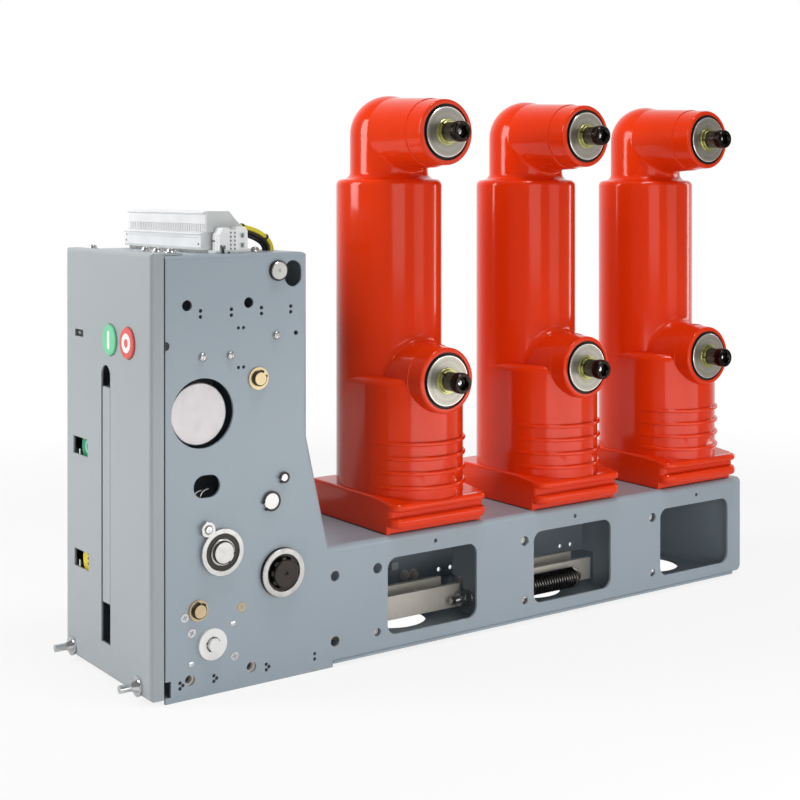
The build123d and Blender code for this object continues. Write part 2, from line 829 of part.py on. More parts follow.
def arm_shape(z, root_r, reach, cap_length):
    # Horizontal arm of the pole, narrowing to a creased cap at its end
    sketch = make_face(Polyline(
        (0, 0), (root_r, 0), (arm_tip_r, reach - cap_length), (cap_rear_r, reach - cap_length),
        (cap_front_r, reach), (0, reach), close=True,
    ))
    rim = sketch.vertices().filter_by(lambda v: v.X > rim_inner_r and v.Y > reach - cut_margin)
    sketch = fillet(rim, cap_edge)
    side = Plane(origin=(0, 0, z), x_dir=(1, 0, 0), z_dir=(0, 0, -1))
    return revolve(side * sketch, Axis((0, 0, z), (0, -1, 0)))


def column_shape():
    # Upright of the pole with its rounded shoulder and neck
    sketch = make_face(Polyline(
        (0, base_height), (column_r, base_height), (column_r, column_top), (neck_r, column_top),
        (neck_r, upper_z), (0, upper_z), close=True,
    ))
    corners = sketch.vertices().filter_by(lambda v: v.X > 0 and abs(v.Y - column_top) < cut_margin)
    sketch = fillet(corners.sort_by(Axis.X)[-1], shoulder_round)
    corners = sketch.vertices().filter_by(
        lambda v: abs(v.X - neck_r) < cut_margin and v.Y < upper_z - cut_margin
    )
    sketch = fillet(corners, neck_blend)
    return revolve(Plane.XZ * sketch, Axis.Z)


def bulge_shape():
    # Thickened foot of the upright, a half round with flat sides
    flats = Pos(0, -bulge_offset / 2) * Rectangle(2 * column_r, bulge_offset)
    sketch = Pos(0, -bulge_offset) * Circle(column_r) + flats
    foot = base_height + fin_upper_low + fin_upper_edge
    bulge = Pos(0, 0, foot) * extrude(sketch, bulge_top - foot)
    rim = bulge.faces().sort_by(Axis.Z)[-1].edges().filter_by(lambda e: e.center().Y < -cut_margin)
    bulge = fillet(rim, bulge_round)
    rib = Cylinder(column_r - rib_fade, rib_height)
    rib = fillet(rib.edges().filter_by(GeomType.CIRCLE), rib_edge)
    for number in range(rib_count):
        z = base_height + rib_first + number * rib_pitch
        bulge += Pos(0, -bulge_offset - rib_reach, z) * rib
    return bulge


def plinth_shape():
    # Foot of the pole: its top falls to the front, where two rounded fins stand over a set-back lip
    front = fin_reach - plinth_front
    crease = plinth_slope - plinth_front
    top = base_height + plinth_height
    nose = base_height + fin_upper_high
    side_outline = [
        (plinth_rear, base_height), (plinth_rear, top), (crease, top), (front, nose),
        (front, base_height),
    ]
    side = make_face(Plane.YZ * Polyline(*side_outline, close=True))
    plinth = Pos(-plinth_half, 0, 0) * extrude(side, amount=2 * plinth_half, dir=(1, 0, 0))
    plinth = fillet(plinth.edges().filter_by(Axis.Z), plinth_round)
    rim = plinth.edges().filter_by(
        lambda e: e.center().Z > nose - cut_margin
        and (abs(e.center().X) > cut_margin or abs(e.center().Y - crease) > cut_margin)
    )
    plinth = fillet(rim, plinth_edge)
    plinth -= block(
        -plinth_half - cut_margin, plinth_half + cut_margin, front - cut_margin, front + lip_setback,
        base_height - cut_margin, base_height + lip_height,
    )
    for low, high, edge in (
        (fin_upper_low, fin_upper_high, fin_upper_edge), (fin_lower_low, fin_lower_high, fin_lower_edge),
    ):
        outline = RectangleRounded(2 * plinth_half, fin_depth, fin_round)
        fin = Pos(0, fin_depth / 2 - plinth_front, base_height + low) * extrude(outline, high - low)
        rims = fin.faces().filter_by(Axis.Z).edges()
        plinth += fillet(rims, edge)
    return plinth


def contact_seat(z, reach):
    seat = rod_y(0, z, rim_inner_r, -reach - cut_margin, rim_depth - reach)
    return seat + rod_y(0, z, contact_back_r, -reach, rim_depth + contact_back - reach)


def blended(pole, arm, z, root_r, radius):
    # Arm joined to the upright, with the crease round its root filled in
    pole += arm
    crease = pole.edges().filter_by(
        lambda e: abs(e.center().Z - z) < root_r and -column_r < e.center().Y < -cut_margin
        and e.geom_type != GeomType.LINE
    )
    return fillet(crease, radius)


pole = column_shape() + Pos(0, 0, upper_z) * Sphere(neck_r)
upper_arm = arm_shape(upper_z, upper_root_r, upper_reach, upper_cap)
pole = blended(pole, upper_arm, upper_z, upper_root_r, elbow_blend)
lower_arm = arm_shape(lower_z, lower_root_r, lower_reach, lower_cap)
pole = blended(pole, lower_arm, lower_z, lower_root_r, root_blend)
pole += bulge_shape()
pole += plinth_shape()
pole -= contact_seat(upper_z, upper_reach)
pole -= contact_seat(lower_z, lower_reach)


def contact_shape(z, reach):
    disc = turned([(contact_back_r, contact_back), (contact_r, rim_depth)])
    disc = chamfer(disc.faces().sort_by(Axis.Z)[-1].edges(), contact_edge)
    return facing_y(0, rim_depth + contact_back - reach, z) * disc


def screw_shape(z, reach):
    # Socket screw with its washer, spring washer and sleeve
    stack = turned([
        (washer_r, washer_thick), (lock_washer_r, lock_washer_thick), (sleeve_r, sleeve_length),
        (screw_r, screw_head),
    ])
    stack = chamfer(stack.faces().sort_by(Axis.Z)[-1].edges(), screw_edge)
    top = washer_thick + lock_washer_thick + sleeve_length + screw_head
    hexagon = RegularPolygon(screw_hexagon / 2, 6, major_radius=False)
    socket = extrude(hexagon, screw_socket_depth + cut_margin)
    stack -= Pos(0, 0, top - screw_socket_depth) * socket
    return facing_y(0, -reach, z) * stack


for index in range(pole_count):
    place = Pos(pole_x + index * pole_pitch, pole_y, 0)
    parts[f"pole_{index + 1}"] = place * pole
    for level, z, reach in (("upper", upper_z, upper_reach), ("lower", lower_z, lower_reach)):
        parts[f"{level}_contact_{index + 1}"] = place * contact_shape(z, reach)
        parts[f"{level}_screw_{index + 1}"] = place * screw_shape(z, reach)

# The frame's origin is the middle of the housing floor's underside
origin_x = (cover_gap + corner_round + foot_end) / 2
origin_y = frame_depth / 2
for name, shape in parts.items():
    export_step(Pos(-origin_x, -origin_y, 0) * shape, f"parts/{name}.step")
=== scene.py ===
import json
from math import cos, pi, radians, sin, tau

import bmesh
import bpy
from mathutils import Matrix, Vector


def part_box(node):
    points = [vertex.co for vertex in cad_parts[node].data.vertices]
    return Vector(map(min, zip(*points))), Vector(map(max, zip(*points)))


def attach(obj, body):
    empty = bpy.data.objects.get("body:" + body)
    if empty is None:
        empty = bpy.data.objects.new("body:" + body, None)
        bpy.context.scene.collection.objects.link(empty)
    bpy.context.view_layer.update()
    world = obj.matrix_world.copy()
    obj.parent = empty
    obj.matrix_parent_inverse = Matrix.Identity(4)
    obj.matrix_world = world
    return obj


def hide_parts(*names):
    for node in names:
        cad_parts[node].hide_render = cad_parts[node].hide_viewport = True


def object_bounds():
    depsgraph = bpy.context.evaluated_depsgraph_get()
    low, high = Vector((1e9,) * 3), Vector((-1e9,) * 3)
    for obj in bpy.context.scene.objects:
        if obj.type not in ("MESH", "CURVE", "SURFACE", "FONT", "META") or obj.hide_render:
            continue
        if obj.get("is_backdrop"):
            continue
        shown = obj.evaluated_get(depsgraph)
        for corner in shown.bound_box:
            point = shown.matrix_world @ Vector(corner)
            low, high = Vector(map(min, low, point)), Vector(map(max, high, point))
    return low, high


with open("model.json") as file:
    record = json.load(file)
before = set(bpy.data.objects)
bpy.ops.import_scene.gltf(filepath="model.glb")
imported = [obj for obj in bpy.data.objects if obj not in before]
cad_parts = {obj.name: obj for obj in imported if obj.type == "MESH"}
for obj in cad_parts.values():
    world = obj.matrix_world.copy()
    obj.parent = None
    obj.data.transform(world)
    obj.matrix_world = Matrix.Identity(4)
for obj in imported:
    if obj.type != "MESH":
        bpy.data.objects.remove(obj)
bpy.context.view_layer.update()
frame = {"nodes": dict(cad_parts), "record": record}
print("frame loaded")

# Places are in millimetres from the foot of the near side plate:
# X along the row of poles, Y from the terminals to the rear, Z up.
coverGap = 0.8
plateLow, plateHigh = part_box("near_side_plate")
foot = plateLow * 1000 - Vector((coverGap, 0, 0))
roofZ = round(plateHigh.z * 1000, 1)
poleX, polePitch, poleCount = 337.0, 210.0, 3
contactZ = {"upper": 570.5, "lower": 295.0}


def at(x, y, z):
    return (foot + Vector((x, y, z))) / 1000


# Which way a small piece looks: its own Z axis points that way
facing = {
    "near": Matrix(((1, 0, 0), (0, 0, -1), (0, 1, 0))),
    "rear": Matrix(((-1, 0, 0), (0, 0, 1), (0, 1, 0))),
    "front": Matrix(((0, 0, -1), (-1, 0, 0), (0, 1, 0))),
    "end": Matrix(((0, 0, 1), (1, 0, 0), (0, 1, 0))),
    "up": Matrix.Identity(3),
}


def placed(x, y, z, way, turn=0.0):
    spin = Matrix.Rotation(radians(turn), 4, "Z")
    return Matrix.Translation(at(x, y, z)) @ facing[way].to_4x4() @ spin


# Shader maths

class Value:
    # a socket that sums can be written with
    def __init__(self, paint, socket):
        self.paint = paint
        self.socket = socket

    def sum(self, operation, *terms):
        sockets = dict(enumerate(terms))
        return self.paint.node("ShaderNodeMath", {"operation": operation}, sockets)

    def __add__(self, other):
        return self.sum("ADD", self, other)

    __radd__ = __add__

    def __mul__(self, other):
        return self.sum("MULTIPLY", self, other)

    __rmul__ = __mul__

    def __sub__(self, other):
        return self.sum("SUBTRACT", self, other)

    def __rsub__(self, other):
        return self.sum("SUBTRACT", other, self)

    def __mod__(self, other):
        return self.sum("FLOORED_MODULO", self, other)

    def __abs__(self):
        return self.sum("ABSOLUTE", self)

    def __gt__(self, other):
        return self.sum("GREATER_THAN", self, other)

    def __lt__(self, other):
        return self.sum("LESS_THAN", self, other)

    def root(self):
        return self.sum("SQRT", self)

    def sine(self):
        return self.sum("SINE", self)

    def within(self, low, high):
        # 0 below low, 1 above high and a soft step between them
        return self.paint.node("ShaderNodeMapRange", {"interpolation_type": "SMOOTHSTEP"},
                               {"Value": self, "From Min": low, "From Max": high})


class Paint:
    # one material: its shader's plain values first, then what changes over the surface
    def __init__(self, name, colour, **plain):
        self.material = bpy.data.materials.new(name)
        self.material.use_nodes = True
        self.tree = self.material.node_tree
        self.shader = self.tree.nodes["Principled BSDF"]
        self.colour = (*colour, 1.0)
        self.set("Base Color", self.colour)
        for socket, value in plain.items():
            self.set(socket.replace("_", " "), value)
        self.material.diffuse_color = self.colour

    def set(self, socket, value):
        if isinstance(value, Value):
            self.tree.links.new(value.socket, self.shader.inputs[socket])
        else:
            self.shader.inputs[socket].default_value = value

    def node(self, kind, settings, sockets, out=0):
        made = self.tree.nodes.new(kind)
        for name, value in settings.items():
            setattr(made, name, value)
        for name, value in sockets.items():
            if isinstance(value, Value):
                self.tree.links.new(value.socket, made.inputs[name])
            else:
                made.inputs[name].default_value = value
        return Value(self, made.outputs[out])

    def place(self):
        return self.node("ShaderNodeTexCoord", {}, {}, "Object")

    def axes(self):
        split = self.node("ShaderNodeSeparateXYZ", {}, {0: self.place()})
        return [Value(self, split.socket.node.outputs[i]) for i in range(3)]

    def noise(self, scale, detail, stretch=(1, 1, 1)):
        where = self.node("ShaderNodeVectorMath", {"operation": "MULTIPLY"},
                          {0: self.place(), 1: stretch})
        return self.node("ShaderNodeTexNoise", {},
                         {"Vector": where, "Scale": scale, "Detail": detail})

    def blend(self, mask, *ends):
        first, second = [end if isinstance(end, Value) else (*end, 1.0) for end in ends]
        return self.node("ShaderNodeMix", {"data_type": "RGBA"}, {0: mask, 6: first, 7: second}, 2)

    def bump(self, height, distance, strength=1.0, below=None):
        sockets = {"Height": height, "Distance": distance, "Strength": strength}
        if below:
            sockets["Normal"] = below
        return self.node("ShaderNodeBump", {}, sockets)


def srgb(red, green, blue):
    def linear(level):
        level /= 255
        return level / 12.92 if level <= 0.04045 else ((level + 0.055) / 1.055) ** 2.4
    return tuple(linear(level) for level in (red, green, blue))


def scaled(colour, factor):
    return tuple(min(1.0, level * factor) for level in colour)


# Finishes

def sheetPaint(name, colour, gloss):
    # powder coat on folded sheet: a fine orange peel and a soft mottle
    paint = Paint(name, colour, Coat_Weight=0.12, Coat_Roughness=0.25)
    mottle = paint.noise(7, 3)
    fine = paint.noise(900, 2)
    peel = paint.noise(420, 1)
    shade = (mottle - 0.5) * 0.10 + (fine - 0.5) * 0.06
    paint.set("Base Color", paint.blend(shade + 0.5, scaled(colour, 0.72), scaled(colour, 1.28)))
    paint.set("Roughness", (mottle - 0.5) * 0.10 + (fine - 0.5) * 0.12 + gloss)
    grain = paint.bump(fine, 0.00004, 0.5)
    paint.set("Normal", paint.bump(peel, 0.00012, 0.35, grain))
    return paint.material


def resinFinish():
    # cast epoxy resin: glossy, with a slow ripple from the mould and a fine grain
    paint = Paint("castResin", srgb(219, 46, 14), Coat_Weight=0.04, Coat_Roughness=0.04,
                  Specular_IOR_Level=0.26)
    slow = paint.noise(9, 2)
    ripple = paint.noise(38, 2)
    fine = paint.noise(700, 2)
    shade = (slow - 0.5) * 0.28 + (fine - 0.5) * 0.08
    paint.set("Base Color", paint.blend(shade + 0.5, srgb(214, 42, 6), srgb(234, 65, 16)))
    paint.set("Roughness", (slow - 0.5) * 0.08 + (fine - 0.5) * 0.06 + 0.13)
    low = paint.bump(ripple, 0.0005, 0.16)
    paint.set("Normal", paint.bump(fine, 0.00003, 0.30, low))
    return paint.material


turning = {
    # step of the fine and the broad rings, depth of the fine ones, colour of the painted highlight on the
    # rim
    "fine": 0.0011, "broad": 0.0062, "depth": 0.00006, "rim": srgb(240, 237, 228),
}


def turnedPlate(paint, radius, rim, dark, light, rough):
    # silver plate on a turned face: rings about one axis, a soft cloud and a painted highlight on the rim
    rings = (radius * (tau / turning["fine"])).sine() * 0.5 + 0.5
    broad = (radius * (tau / turning["broad"])).sine() * 0.5 + 0.5
    cloud = paint.noise(60, 3)
    tint = paint.blend(cloud * 0.5 + broad * 0.25, dark, light)
    # the rim band takes the pale colour of a painted highlight
    paint.set("Base Color", paint.blend(rim, tint, turning["rim"]))
    paint.set("Roughness", rings * 0.08 + (cloud - 0.5) * 0.12 + rough - rim * 0.10)
    paint.set("Normal", paint.bump(rings, turning["depth"], 0.6))
    return paint.material


def contactFinish():
    # the contacts of the frame, whose rings run about each terminal's own axis
    paint = Paint("contactSilver", srgb(226, 222, 206), Metallic=1.0)
    x, z = paint.axes()[::2]
    firstX = (foot.x + poleX) / 1000
    pitch = polePitch / 1000
    middle = (foot.z + (contactZ["upper"] + contactZ["lower"]) / 2) / 1000
    reach = (contactZ["upper"] - contactZ["lower"]) / 2000
    across = (x - firstX + pitch / 2) % pitch - pitch / 2
    along = abs(z - middle) - reach
    radius = (across * across + along * along).root()
    # the band at the edge of each terminal face gets the painted rim highlight
    return turnedPlate(paint, radius, radius.within(0.0262, 0.0270), srgb(146, 142, 131),
                       srgb(184, 180, 168), 0.27)


def contactDiscFinish():
    # the discs that lie on the contacts, whose rings run about the disc's own middle
    paint = Paint("contactFace", srgb(176, 171, 160), Metallic=1.0)
    x, y = paint.axes()[:2]
    radius = (x * x + y * y).root()
    # the band at the disc's edge gets the painted rim highlight
    return turnedPlate(paint, radius, radius.within(0.0268, 0.0274), srgb(158, 153, 142),
                       srgb(196, 191, 180), 0.32)


def metalFinish(name, colour, rough, brushed=0.0, dull=0.7, metal=1.0):
    # plain metal: soft stains and fine scratches along the piece
    paint = Paint(name, colour, Metallic=metal)
    cloud = paint.noise(140, 4)
    scratch = paint.noise(900, 2, stretch=(1, 1, 0.06))
    paint.set("Base Color", paint.blend(cloud, scaled(colour, dull), colour))
    paint.set("Roughness", (cloud - 0.5) * 0.22 + (scratch - 0.5) * 0.16 + rough)
    paint.set("Normal", paint.bump(scratch, 0.00004, 0.3 + brushed))
    return paint.material


def plasticFinish(name, colour, rough, grain=600):
    # moulded plastic with a light spark-eroded grain
    paint = Paint(name, colour, Coat_Weight=0.08, Coat_Roughness=0.2)
    cloud = paint.noise(30, 2)
    pits = paint.noise(grain, 2)
    paint.set("Base Color", paint.blend(cloud, scaled(colour, 0.80), colour))
    paint.set("Roughness", (pits - 0.5) * 0.16 + (cloud - 0.5) * 0.08 + rough)
    paint.set("Normal", paint.bump(pits, 0.00005, 0.5))
    return paint.material


framePaint = sheetPaint("framePaint", srgb(150, 162, 171), 0.38)
coverPaint = sheetPaint("coverPaint", srgb(156, 163, 166), 0.38)
castResin = resinFinish()
contactSilver = contactFinish()
contactFace = contactDiscFinish()
brightSteel = metalFinish("brightSteel", srgb(214, 213, 210), 0.30)
chrome = metalFinish("chrome", srgb(226, 227, 228), 0.16, dull=0.86)
plainSteel = metalFinish("plainSteel", srgb(172, 165, 154), 0.42, 0.3)
# a pale, nearly plain finish for the bars and bolts inside the base, made lighter to make up for the dim
# inside: painted light
paintedLightZinc = metalFinish("paintedLightZinc", srgb(232, 225, 214), 0.50, 0.3, 0.86, 0.12)
sleeveSteel = metalFinish("sleeveSteel", srgb(104, 99, 91), 0.24)
springSteel = metalFinish("springSteel", srgb(112, 108, 104), 0.24)
hubSteel = metalFinish("hubSteel", srgb(72, 68, 65), 0.42)
darkSteel = metalFinish("darkSteel", srgb(70, 68, 67), 0.38)
blackOxide = metalFinish("blackOxide", srgb(50, 46, 42), 0.20)
brass = metalFinish("brass", srgb(212, 192, 152), 0.34)
yellowZinc = metalFinish("yellowZinc", srgb(196, 194, 134), 0.30)
drumCap = metalFinish("drumCap", srgb(205, 201, 202), 0.52, dull=0.93)
greenPlastic = plasticFinish("greenPlastic", srgb(116, 208, 158), 0.36)
redPlastic = plasticFinish("redPlastic", srgb(226, 92, 88), 0.36)
flagGreen = plasticFinish("flagGreen", srgb(30, 142, 98), 0.42)
flagRing = plasticFinish("flagRing", srgb(140, 210, 184), 0.42)
yellowPlastic = plasticFinish("yellowPlastic", srgb(222, 196, 34), 0.40)
whitePlastic = plasticFinish("whitePlastic", srgb(236, 237, 238), 0.42)
greyPlastic = plasticFinish("greyPlastic", srgb(208, 212, 211), 0.42)
blackPlastic = plasticFinish("blackPlastic", srgb(24, 24, 26), 0.45)
markWhite = plasticFinish("markWhite", srgb(240, 240, 238), 0.40)
wheelGrey = plasticFinish("wheelGrey", srgb(150, 154, 154), 0.45)
# grey for the painted shade in the clamp's openings and screw slots
openingShadeGrey = plasticFinish("openingShadeGrey", srgb(112, 114, 114), 0.45)
blackSheath = plasticFinish("blackSheath", srgb(22, 22, 23), 0.35, 300)
yellowSheath = plasticFinish("yellowSheath", srgb(226, 210, 40), 0.38, 300)
# a dark finish for the rings at the plinth feet and in the terminal grooves, and for the painted shade
# round the contact discs' sides
darkRingFinish = plasticFinish("darkRingFinish", srgb(26, 24, 23), 0.60, 400)
print("finishes made")

finishOfSlot = {
    "frame_paint": framePaint, "cover_paint": coverPaint, "cast_resin": castResin,
    "contact_silver": contactSilver, "black_screw": blackOxide,
    "green_plastic": greenPlastic, "red_plastic": redPlastic,
    "yellow_plastic": yellowPlastic, "white_plastic": whitePlastic,
    "grey_plastic": greyPlastic, "bright_steel": brightSteel, "dark_steel": darkSteel,
    "plain_steel": plainSteel, "brass_pin": brass, "cable_sheath": blackSheath,
    "black_plastic": blackPlastic,
}
finishOfNode = {
    "spring_drum": drumCap, "cover_studs": chrome, "shaft_bearings": brightSteel,
    "link_bars_1": paintedLightZinc, "link_bars_2": paintedLightZinc, "lock_disc": markWhite,
}
for entry in frame["record"]["subparts"]:
    nodeName = entry["node"]
    slots = frame["nodes"][nodeName].data.materials
    slots.clear()
    slots.append(finishOfNode.get(nodeName, finishOfSlot[entry["material_slot"]]))


# Shapes, in millimetres about a piece's own origin

sharpAngle = radians(32)


def finished(name, bm):
    bmesh.ops.remove_doubles(bm, verts=bm.verts, dist=0.002)
    bmesh.ops.recalc_face_normals(bm, faces=bm.faces)
    bmesh.ops.scale(bm, vec=(0.001,) * 3, verts=bm.verts)
    mesh = bpy.data.meshes.new(name)
    bm.to_mesh(mesh)
    bm.free()
    for face in mesh.polygons:
        face.use_smooth = True
    mesh.set_sharp_from_angle(angle=sharpAngle)
    return mesh


def ringPoints(step, sides):
    # a step is (radius, height), or (half across flats, height, largest radius) for a hexagon
    points = []
    for i in range(sides):
        angle = tau * i / sides
        radius = step[0]
        if len(step) == 3:
            radius = min(step[0] / cos((angle + pi / 6) % (pi / 3) - pi / 6), step[2])
        points.append((radius * cos(angle), radius * sin(angle), step[1]))
    return points


def lofted(bm, rings, closed=False):
    made = [[bm.verts.new(point) for point in ring] for ring in rings]
    pairs = list(zip(made, made[1:]))
    if closed:
        pairs.append((made[-1], made[0]))
    count = len(made[0])
    for low, high in pairs:
        for i in range(count):
            j = (i + 1) % count
            bm.faces.new((low[i], low[j], high[j], high[i]))
    if not closed:
        bm.faces.new(made[0][::-1])
        bm.faces.new(made[-1])
    return bm


def turned(name, steps, sides=48, closed=False):
    bm = lofted(bmesh.new(), [ringPoints(step, sides) for step in steps], closed)
    return finished(name, bm)


def block(name, size, edge):
    bm = bmesh.new()
    bmesh.ops.create_cube(bm, size=1)
    bmesh.ops.scale(bm, vec=size, verts=bm.verts)
    bmesh.ops.bevel(bm, geom=bm.edges[:], offset=edge, segments=2, affect="EDGES")
    return finished(name, bm)


def plate(name, outline, thick, edge=0.2):
    bm = bmesh.new()
    bottom = bm.faces.new([bm.verts.new((x, y, 0)) for x, y in outline])
    grown = bmesh.ops.extrude_face_region(bm, geom=[bottom])
    raised = [v for v in grown["geom"] if isinstance(v, bmesh.types.BMVert)]
    bmesh.ops.translate(bm, vec=(0, 0, thick), verts=raised)
    bmesh.ops.recalc_face_normals(bm, faces=bm.faces)
    if edge:
        rim = [e for e in bm.edges if all(v.co.z > thick - 0.01 for v in e.verts)]
        bmesh.ops.bevel(bm, geom=rim, offset=edge, segments=1, affect="EDGES")
    return finished(name, bm)


def arc(radius, first, last, count, centre=(0, 0)):
    steps = [radians(first + (last - first) * i / count) for i in range(count + 1)]
    return [(centre[0] + radius * cos(a), centre[1] + radius * sin(a)) for a in steps]


def tube(name, points, radius, sides=10):
    # a round bar or wire along a path of points
    curve = bpy.data.curves.new(name, "CURVE")
    curve.dimensions = "3D"
    curve.bevel_depth = radius / 1000
    curve.bevel_resolution = max(0, sides // 2 - 2)
    curve.use_fill_caps = True
    spline = curve.splines.new("NURBS")
    spline.points.add(len(points) - 1)
    for point, place in zip(spline.points, points):
        point.co = (*(Vector(place) / 1000), 1.0)
    spline.order_u = 4
    spline.resolution_u = 8
    spline.use_endpoint_u = True
    holder = bpy.data.objects.new(name, curve)
    mesh = bpy.data.meshes.new_from_object(holder)
    mesh.name = name
    bpy.data.objects.remove(holder)
    for face in mesh.polygons:
        face.use_smooth = True
    return mesh


def cutAway(mesh, cutter):
    # the first mesh less the second one
    holders = [bpy.data.objects.new("cut", m) for m in (mesh, cutter)]
    for holder in holders:
        bpy.context.scene.collection.objects.link(holder)
    trim = holders[0].modifiers.new("cut", "BOOLEAN")
    trim.object = holders[1]
    trim.solver = "EXACT"
    bpy.context.view_layer.update()
    ready = holders[0].evaluated_get(bpy.context.evaluated_depsgraph_get())
    result = bpy.data.meshes.new_from_object(ready)
    result.name = mesh.name
    for holder in holders:
        bpy.data.objects.remove(holder)
    for face in result.polygons:
        face.use_smooth = True
    result.set_sharp_from_angle(angle=sharpAngle)
    return result


def joined(name, *parts):
    # several (mesh, finish) pairs, or (mesh, finish, matrix), as one mesh
    bm = bmesh.new()
    finishes = []
    for part in parts:
        mesh, finish = part[0], part[1]
        if finish not in finishes:
            finishes.append(finish)
        single = mesh.copy()
        if len(part) == 3:
            single.transform(part[2])
        first = len(bm.faces)
        bm.from_mesh(single)
        bm.faces.ensure_lookup_table()
        for face in bm.faces[first:]:
            face.material_index = finishes.index(finish)
        bpy.data.meshes.remove(single)
    mesh = bpy.data.meshes.new(name)
    bm.to_mesh(mesh)
    bm.free()
    for finish in finishes:
        mesh.materials.append(finish)
    return mesh


def shifted(x, y, z, turn=0.0, axis="Z"):
    return Matrix.Translation(Vector((x, y, z)) / 1000) @ Matrix.Rotation(radians(turn), 4, axis)


def piece(name, mesh, place, finish=None, body="frame"):
    made = bpy.data.objects.new(name, mesh)
    bpy.context.scene.collection.objects.link(made)
    made.matrix_world = place
    if finish and not mesh.materials:
        mesh.materials.append(finish)
    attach(made, body)
    return made


# Terminal screws

terminalScrew = {
    "bore": 6.5, "washer": (15.0, 3.0), "lockWasher": (13.0, 9.2, 3.6), "split": (8, 0.5),
    "core": 9.0, "sleeve": (10.6, 13.0), "head": (11.6, 10.2), "socket": (13.0, 6.5),
    "knurls": 36, "knurlDepth": 0.028,
}


def springWasher(outer, inner, thick, gap, lift):
    # a square ring, split and sprung open a little
    profile = ((inner, 0.3), (outer - 0.3, 0.3), (outer, 0.6), (outer, thick - 0.6),
               (outer - 0.3, thick - 0.3), (inner, thick - 0.3))
    rings = []
    count = 60
    for i in range(count + 1):
        angle = radians(gap / 2 + (360 - gap) * i / count)
        rise = lift * (i / count - 0.5)
        rings.append([(radius * cos(angle), radius * sin(angle), height + rise)
                      for radius, height in profile])
    return finished("springWasher", lofted(bmesh.new(), rings))


def knurled(ring, depth):
    # three of every six points are drawn in
    drawn = 1 - depth
    return [(x * drawn, y * drawn, z) if i % 6 in (0, 1, 5) else (x, y, z)
            for i, (x, y, z) in enumerate(ring)]


def capScrewHead(s):
    # a knurled cylinder head with a hexagon socket
    radius, height = s["head"]
    flats, depth = s["socket"]
    steps = [(radius - 0.8, 0), (radius - 0.2, 0.5), (radius - 0.2, 2.2), (radius, 2.4),
             (radius, height - 2.0), (radius - 0.25, height - 1.2), (radius - 1.2, height),
             (flats / 2 + 1.2, height), (flats / 2 + 0.35, height - 0.5, 20),
             (flats / 2, height - 0.9, 20), (flats / 2, height - depth, 20),
             (flats / 4, height - depth - 0.8)]
    rings = [ringPoints(step, s["knurls"] * 6) for step in steps]
    for level in (3, 4):
        rings[level] = knurled(rings[level], s["knurlDepth"])
    return finished("capScrewHead", lofted(bmesh.new(), rings))


def screwStack(s):
    bore = s["bore"]
    washerR, washerThick = s["washer"]
    sleeveR, sleeveLength = s["sleeve"]
    sleeveAt = washerThick + s["lockWasher"][2]
    headAt = sleeveAt + sleeveLength
    socketFloor = headAt + s["head"][1] - s["socket"][1]
    washer = turned("washer", [(bore, 0.05), (washerR - 0.6, 0.05), (washerR, 0.5),
                               (washerR, washerThick - 0.5), (washerR - 0.5, washerThick),
                               (bore, washerThick)], 64)
    lock = springWasher(*s["lockWasher"], *s["split"])
    sleeve = turned("sleeve", [(bore - 0.5, 0), (sleeveR - 0.6, 0), (sleeveR, 0.6),
                               (sleeveR, sleeveLength - 0.6), (sleeveR - 0.6, sleeveLength),
                               (bore - 0.5, sleeveLength)])
    core = turned("core", [(s["core"], 0.5), (s["core"], sleeveAt + 1)], 32)
    # a small chrome point at the floor of the black socket, put there to give a glint: a painted highlight
    glintPoint = turned("glintPoint", [(3.6, 0), (3.4, 0.3), (1.0, 1.1), (0.2, 1.2)], 24)
    return joined("screwStack", (washer, yellowZinc), (core, darkSteel),
                  (lock, yellowZinc, shifted(0, 0, washerThick, 120)),
                  (sleeve, sleeveSteel, shifted(0, 0, sleeveAt)),
                  (glintPoint, chrome, shifted(0.6, 0, socketFloor + 0.1)),
                  (capScrewHead(s), blackOxide, shifted(0, 0, headAt)))


stack = screwStack(terminalScrew)
for level in ("upper", "lower"):
    for k in range(poleCount):
        nodeName = f"{level}_screw_{k + 1}"
        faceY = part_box(nodeName)[1].y * 1000 - foot.y
        screw = piece(f"terminal_screw_{level}_{k + 1}", stack,
                      placed(poleX + polePitch * k, faceY, contactZ[level], "near", 17 + 23 * k))
        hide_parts(nodeName)
print("terminal screws made")


# Fasteners of the mechanism side

# X and Z of the shafts, pins and other round pieces on the near side plate
plateSpots = {
    "charging": (62.4, 142.4), "main": (133.5, 111.1), "stub": (129.4, 423.1), "lock": (52.2, 51.2),
    "pin_steel": (120.7, 186.1), "pin_small": (135.8, 208.8),
    "brass_high": (105.7, 313.5), "brass_low": (36.6, 87.1), "nut": (45.6, 167.4),
}
nearScrews = {
    "round": [(127.5, 356.2), (41.8, 339.2), (73.7, 339.0)],
    "flat": [(21.8, 82.1), (29.6, 65.7), (78.1, 33.9)],
    "brassFlat": [(86.2, 82.3)],
    "rivet": [(76.7, 67.1), (29.2, 34.6)],
}
hexNut = {"flats": 14.6, "height": 6.0, "bore": 4.0, "studRadius": 3.9, "studHigh": 7.3}
clipRing = {"grip": 0.9, "reach": 1.4, "thick": 1.2, "gap": 40, "ear": 1.5}
clips = {
    # pin radius, height over the plate, turn
    "charging": (10.5, 5.6, -35), "pin_steel": (9.0, 1.8, 205), "pin_small": (4.5, 2.2, 200),
    "brass_high": (6.5, 3.4, 40), "brass_low": (6.5, 3.4, 70),
}


def onPlate(spot, turn=0.0, lift=0.0):
    return placed(spot[0], -lift, spot[1], "near", turn)


def row(name, mesh, spots, finish, turn=0, step=0):
    # numbered pieces on the near side plate
    for k, spot in enumerate(spots):
        piece(f"{name}_{k + 1}", mesh, onPlate(spot, turn + step * k), finish)


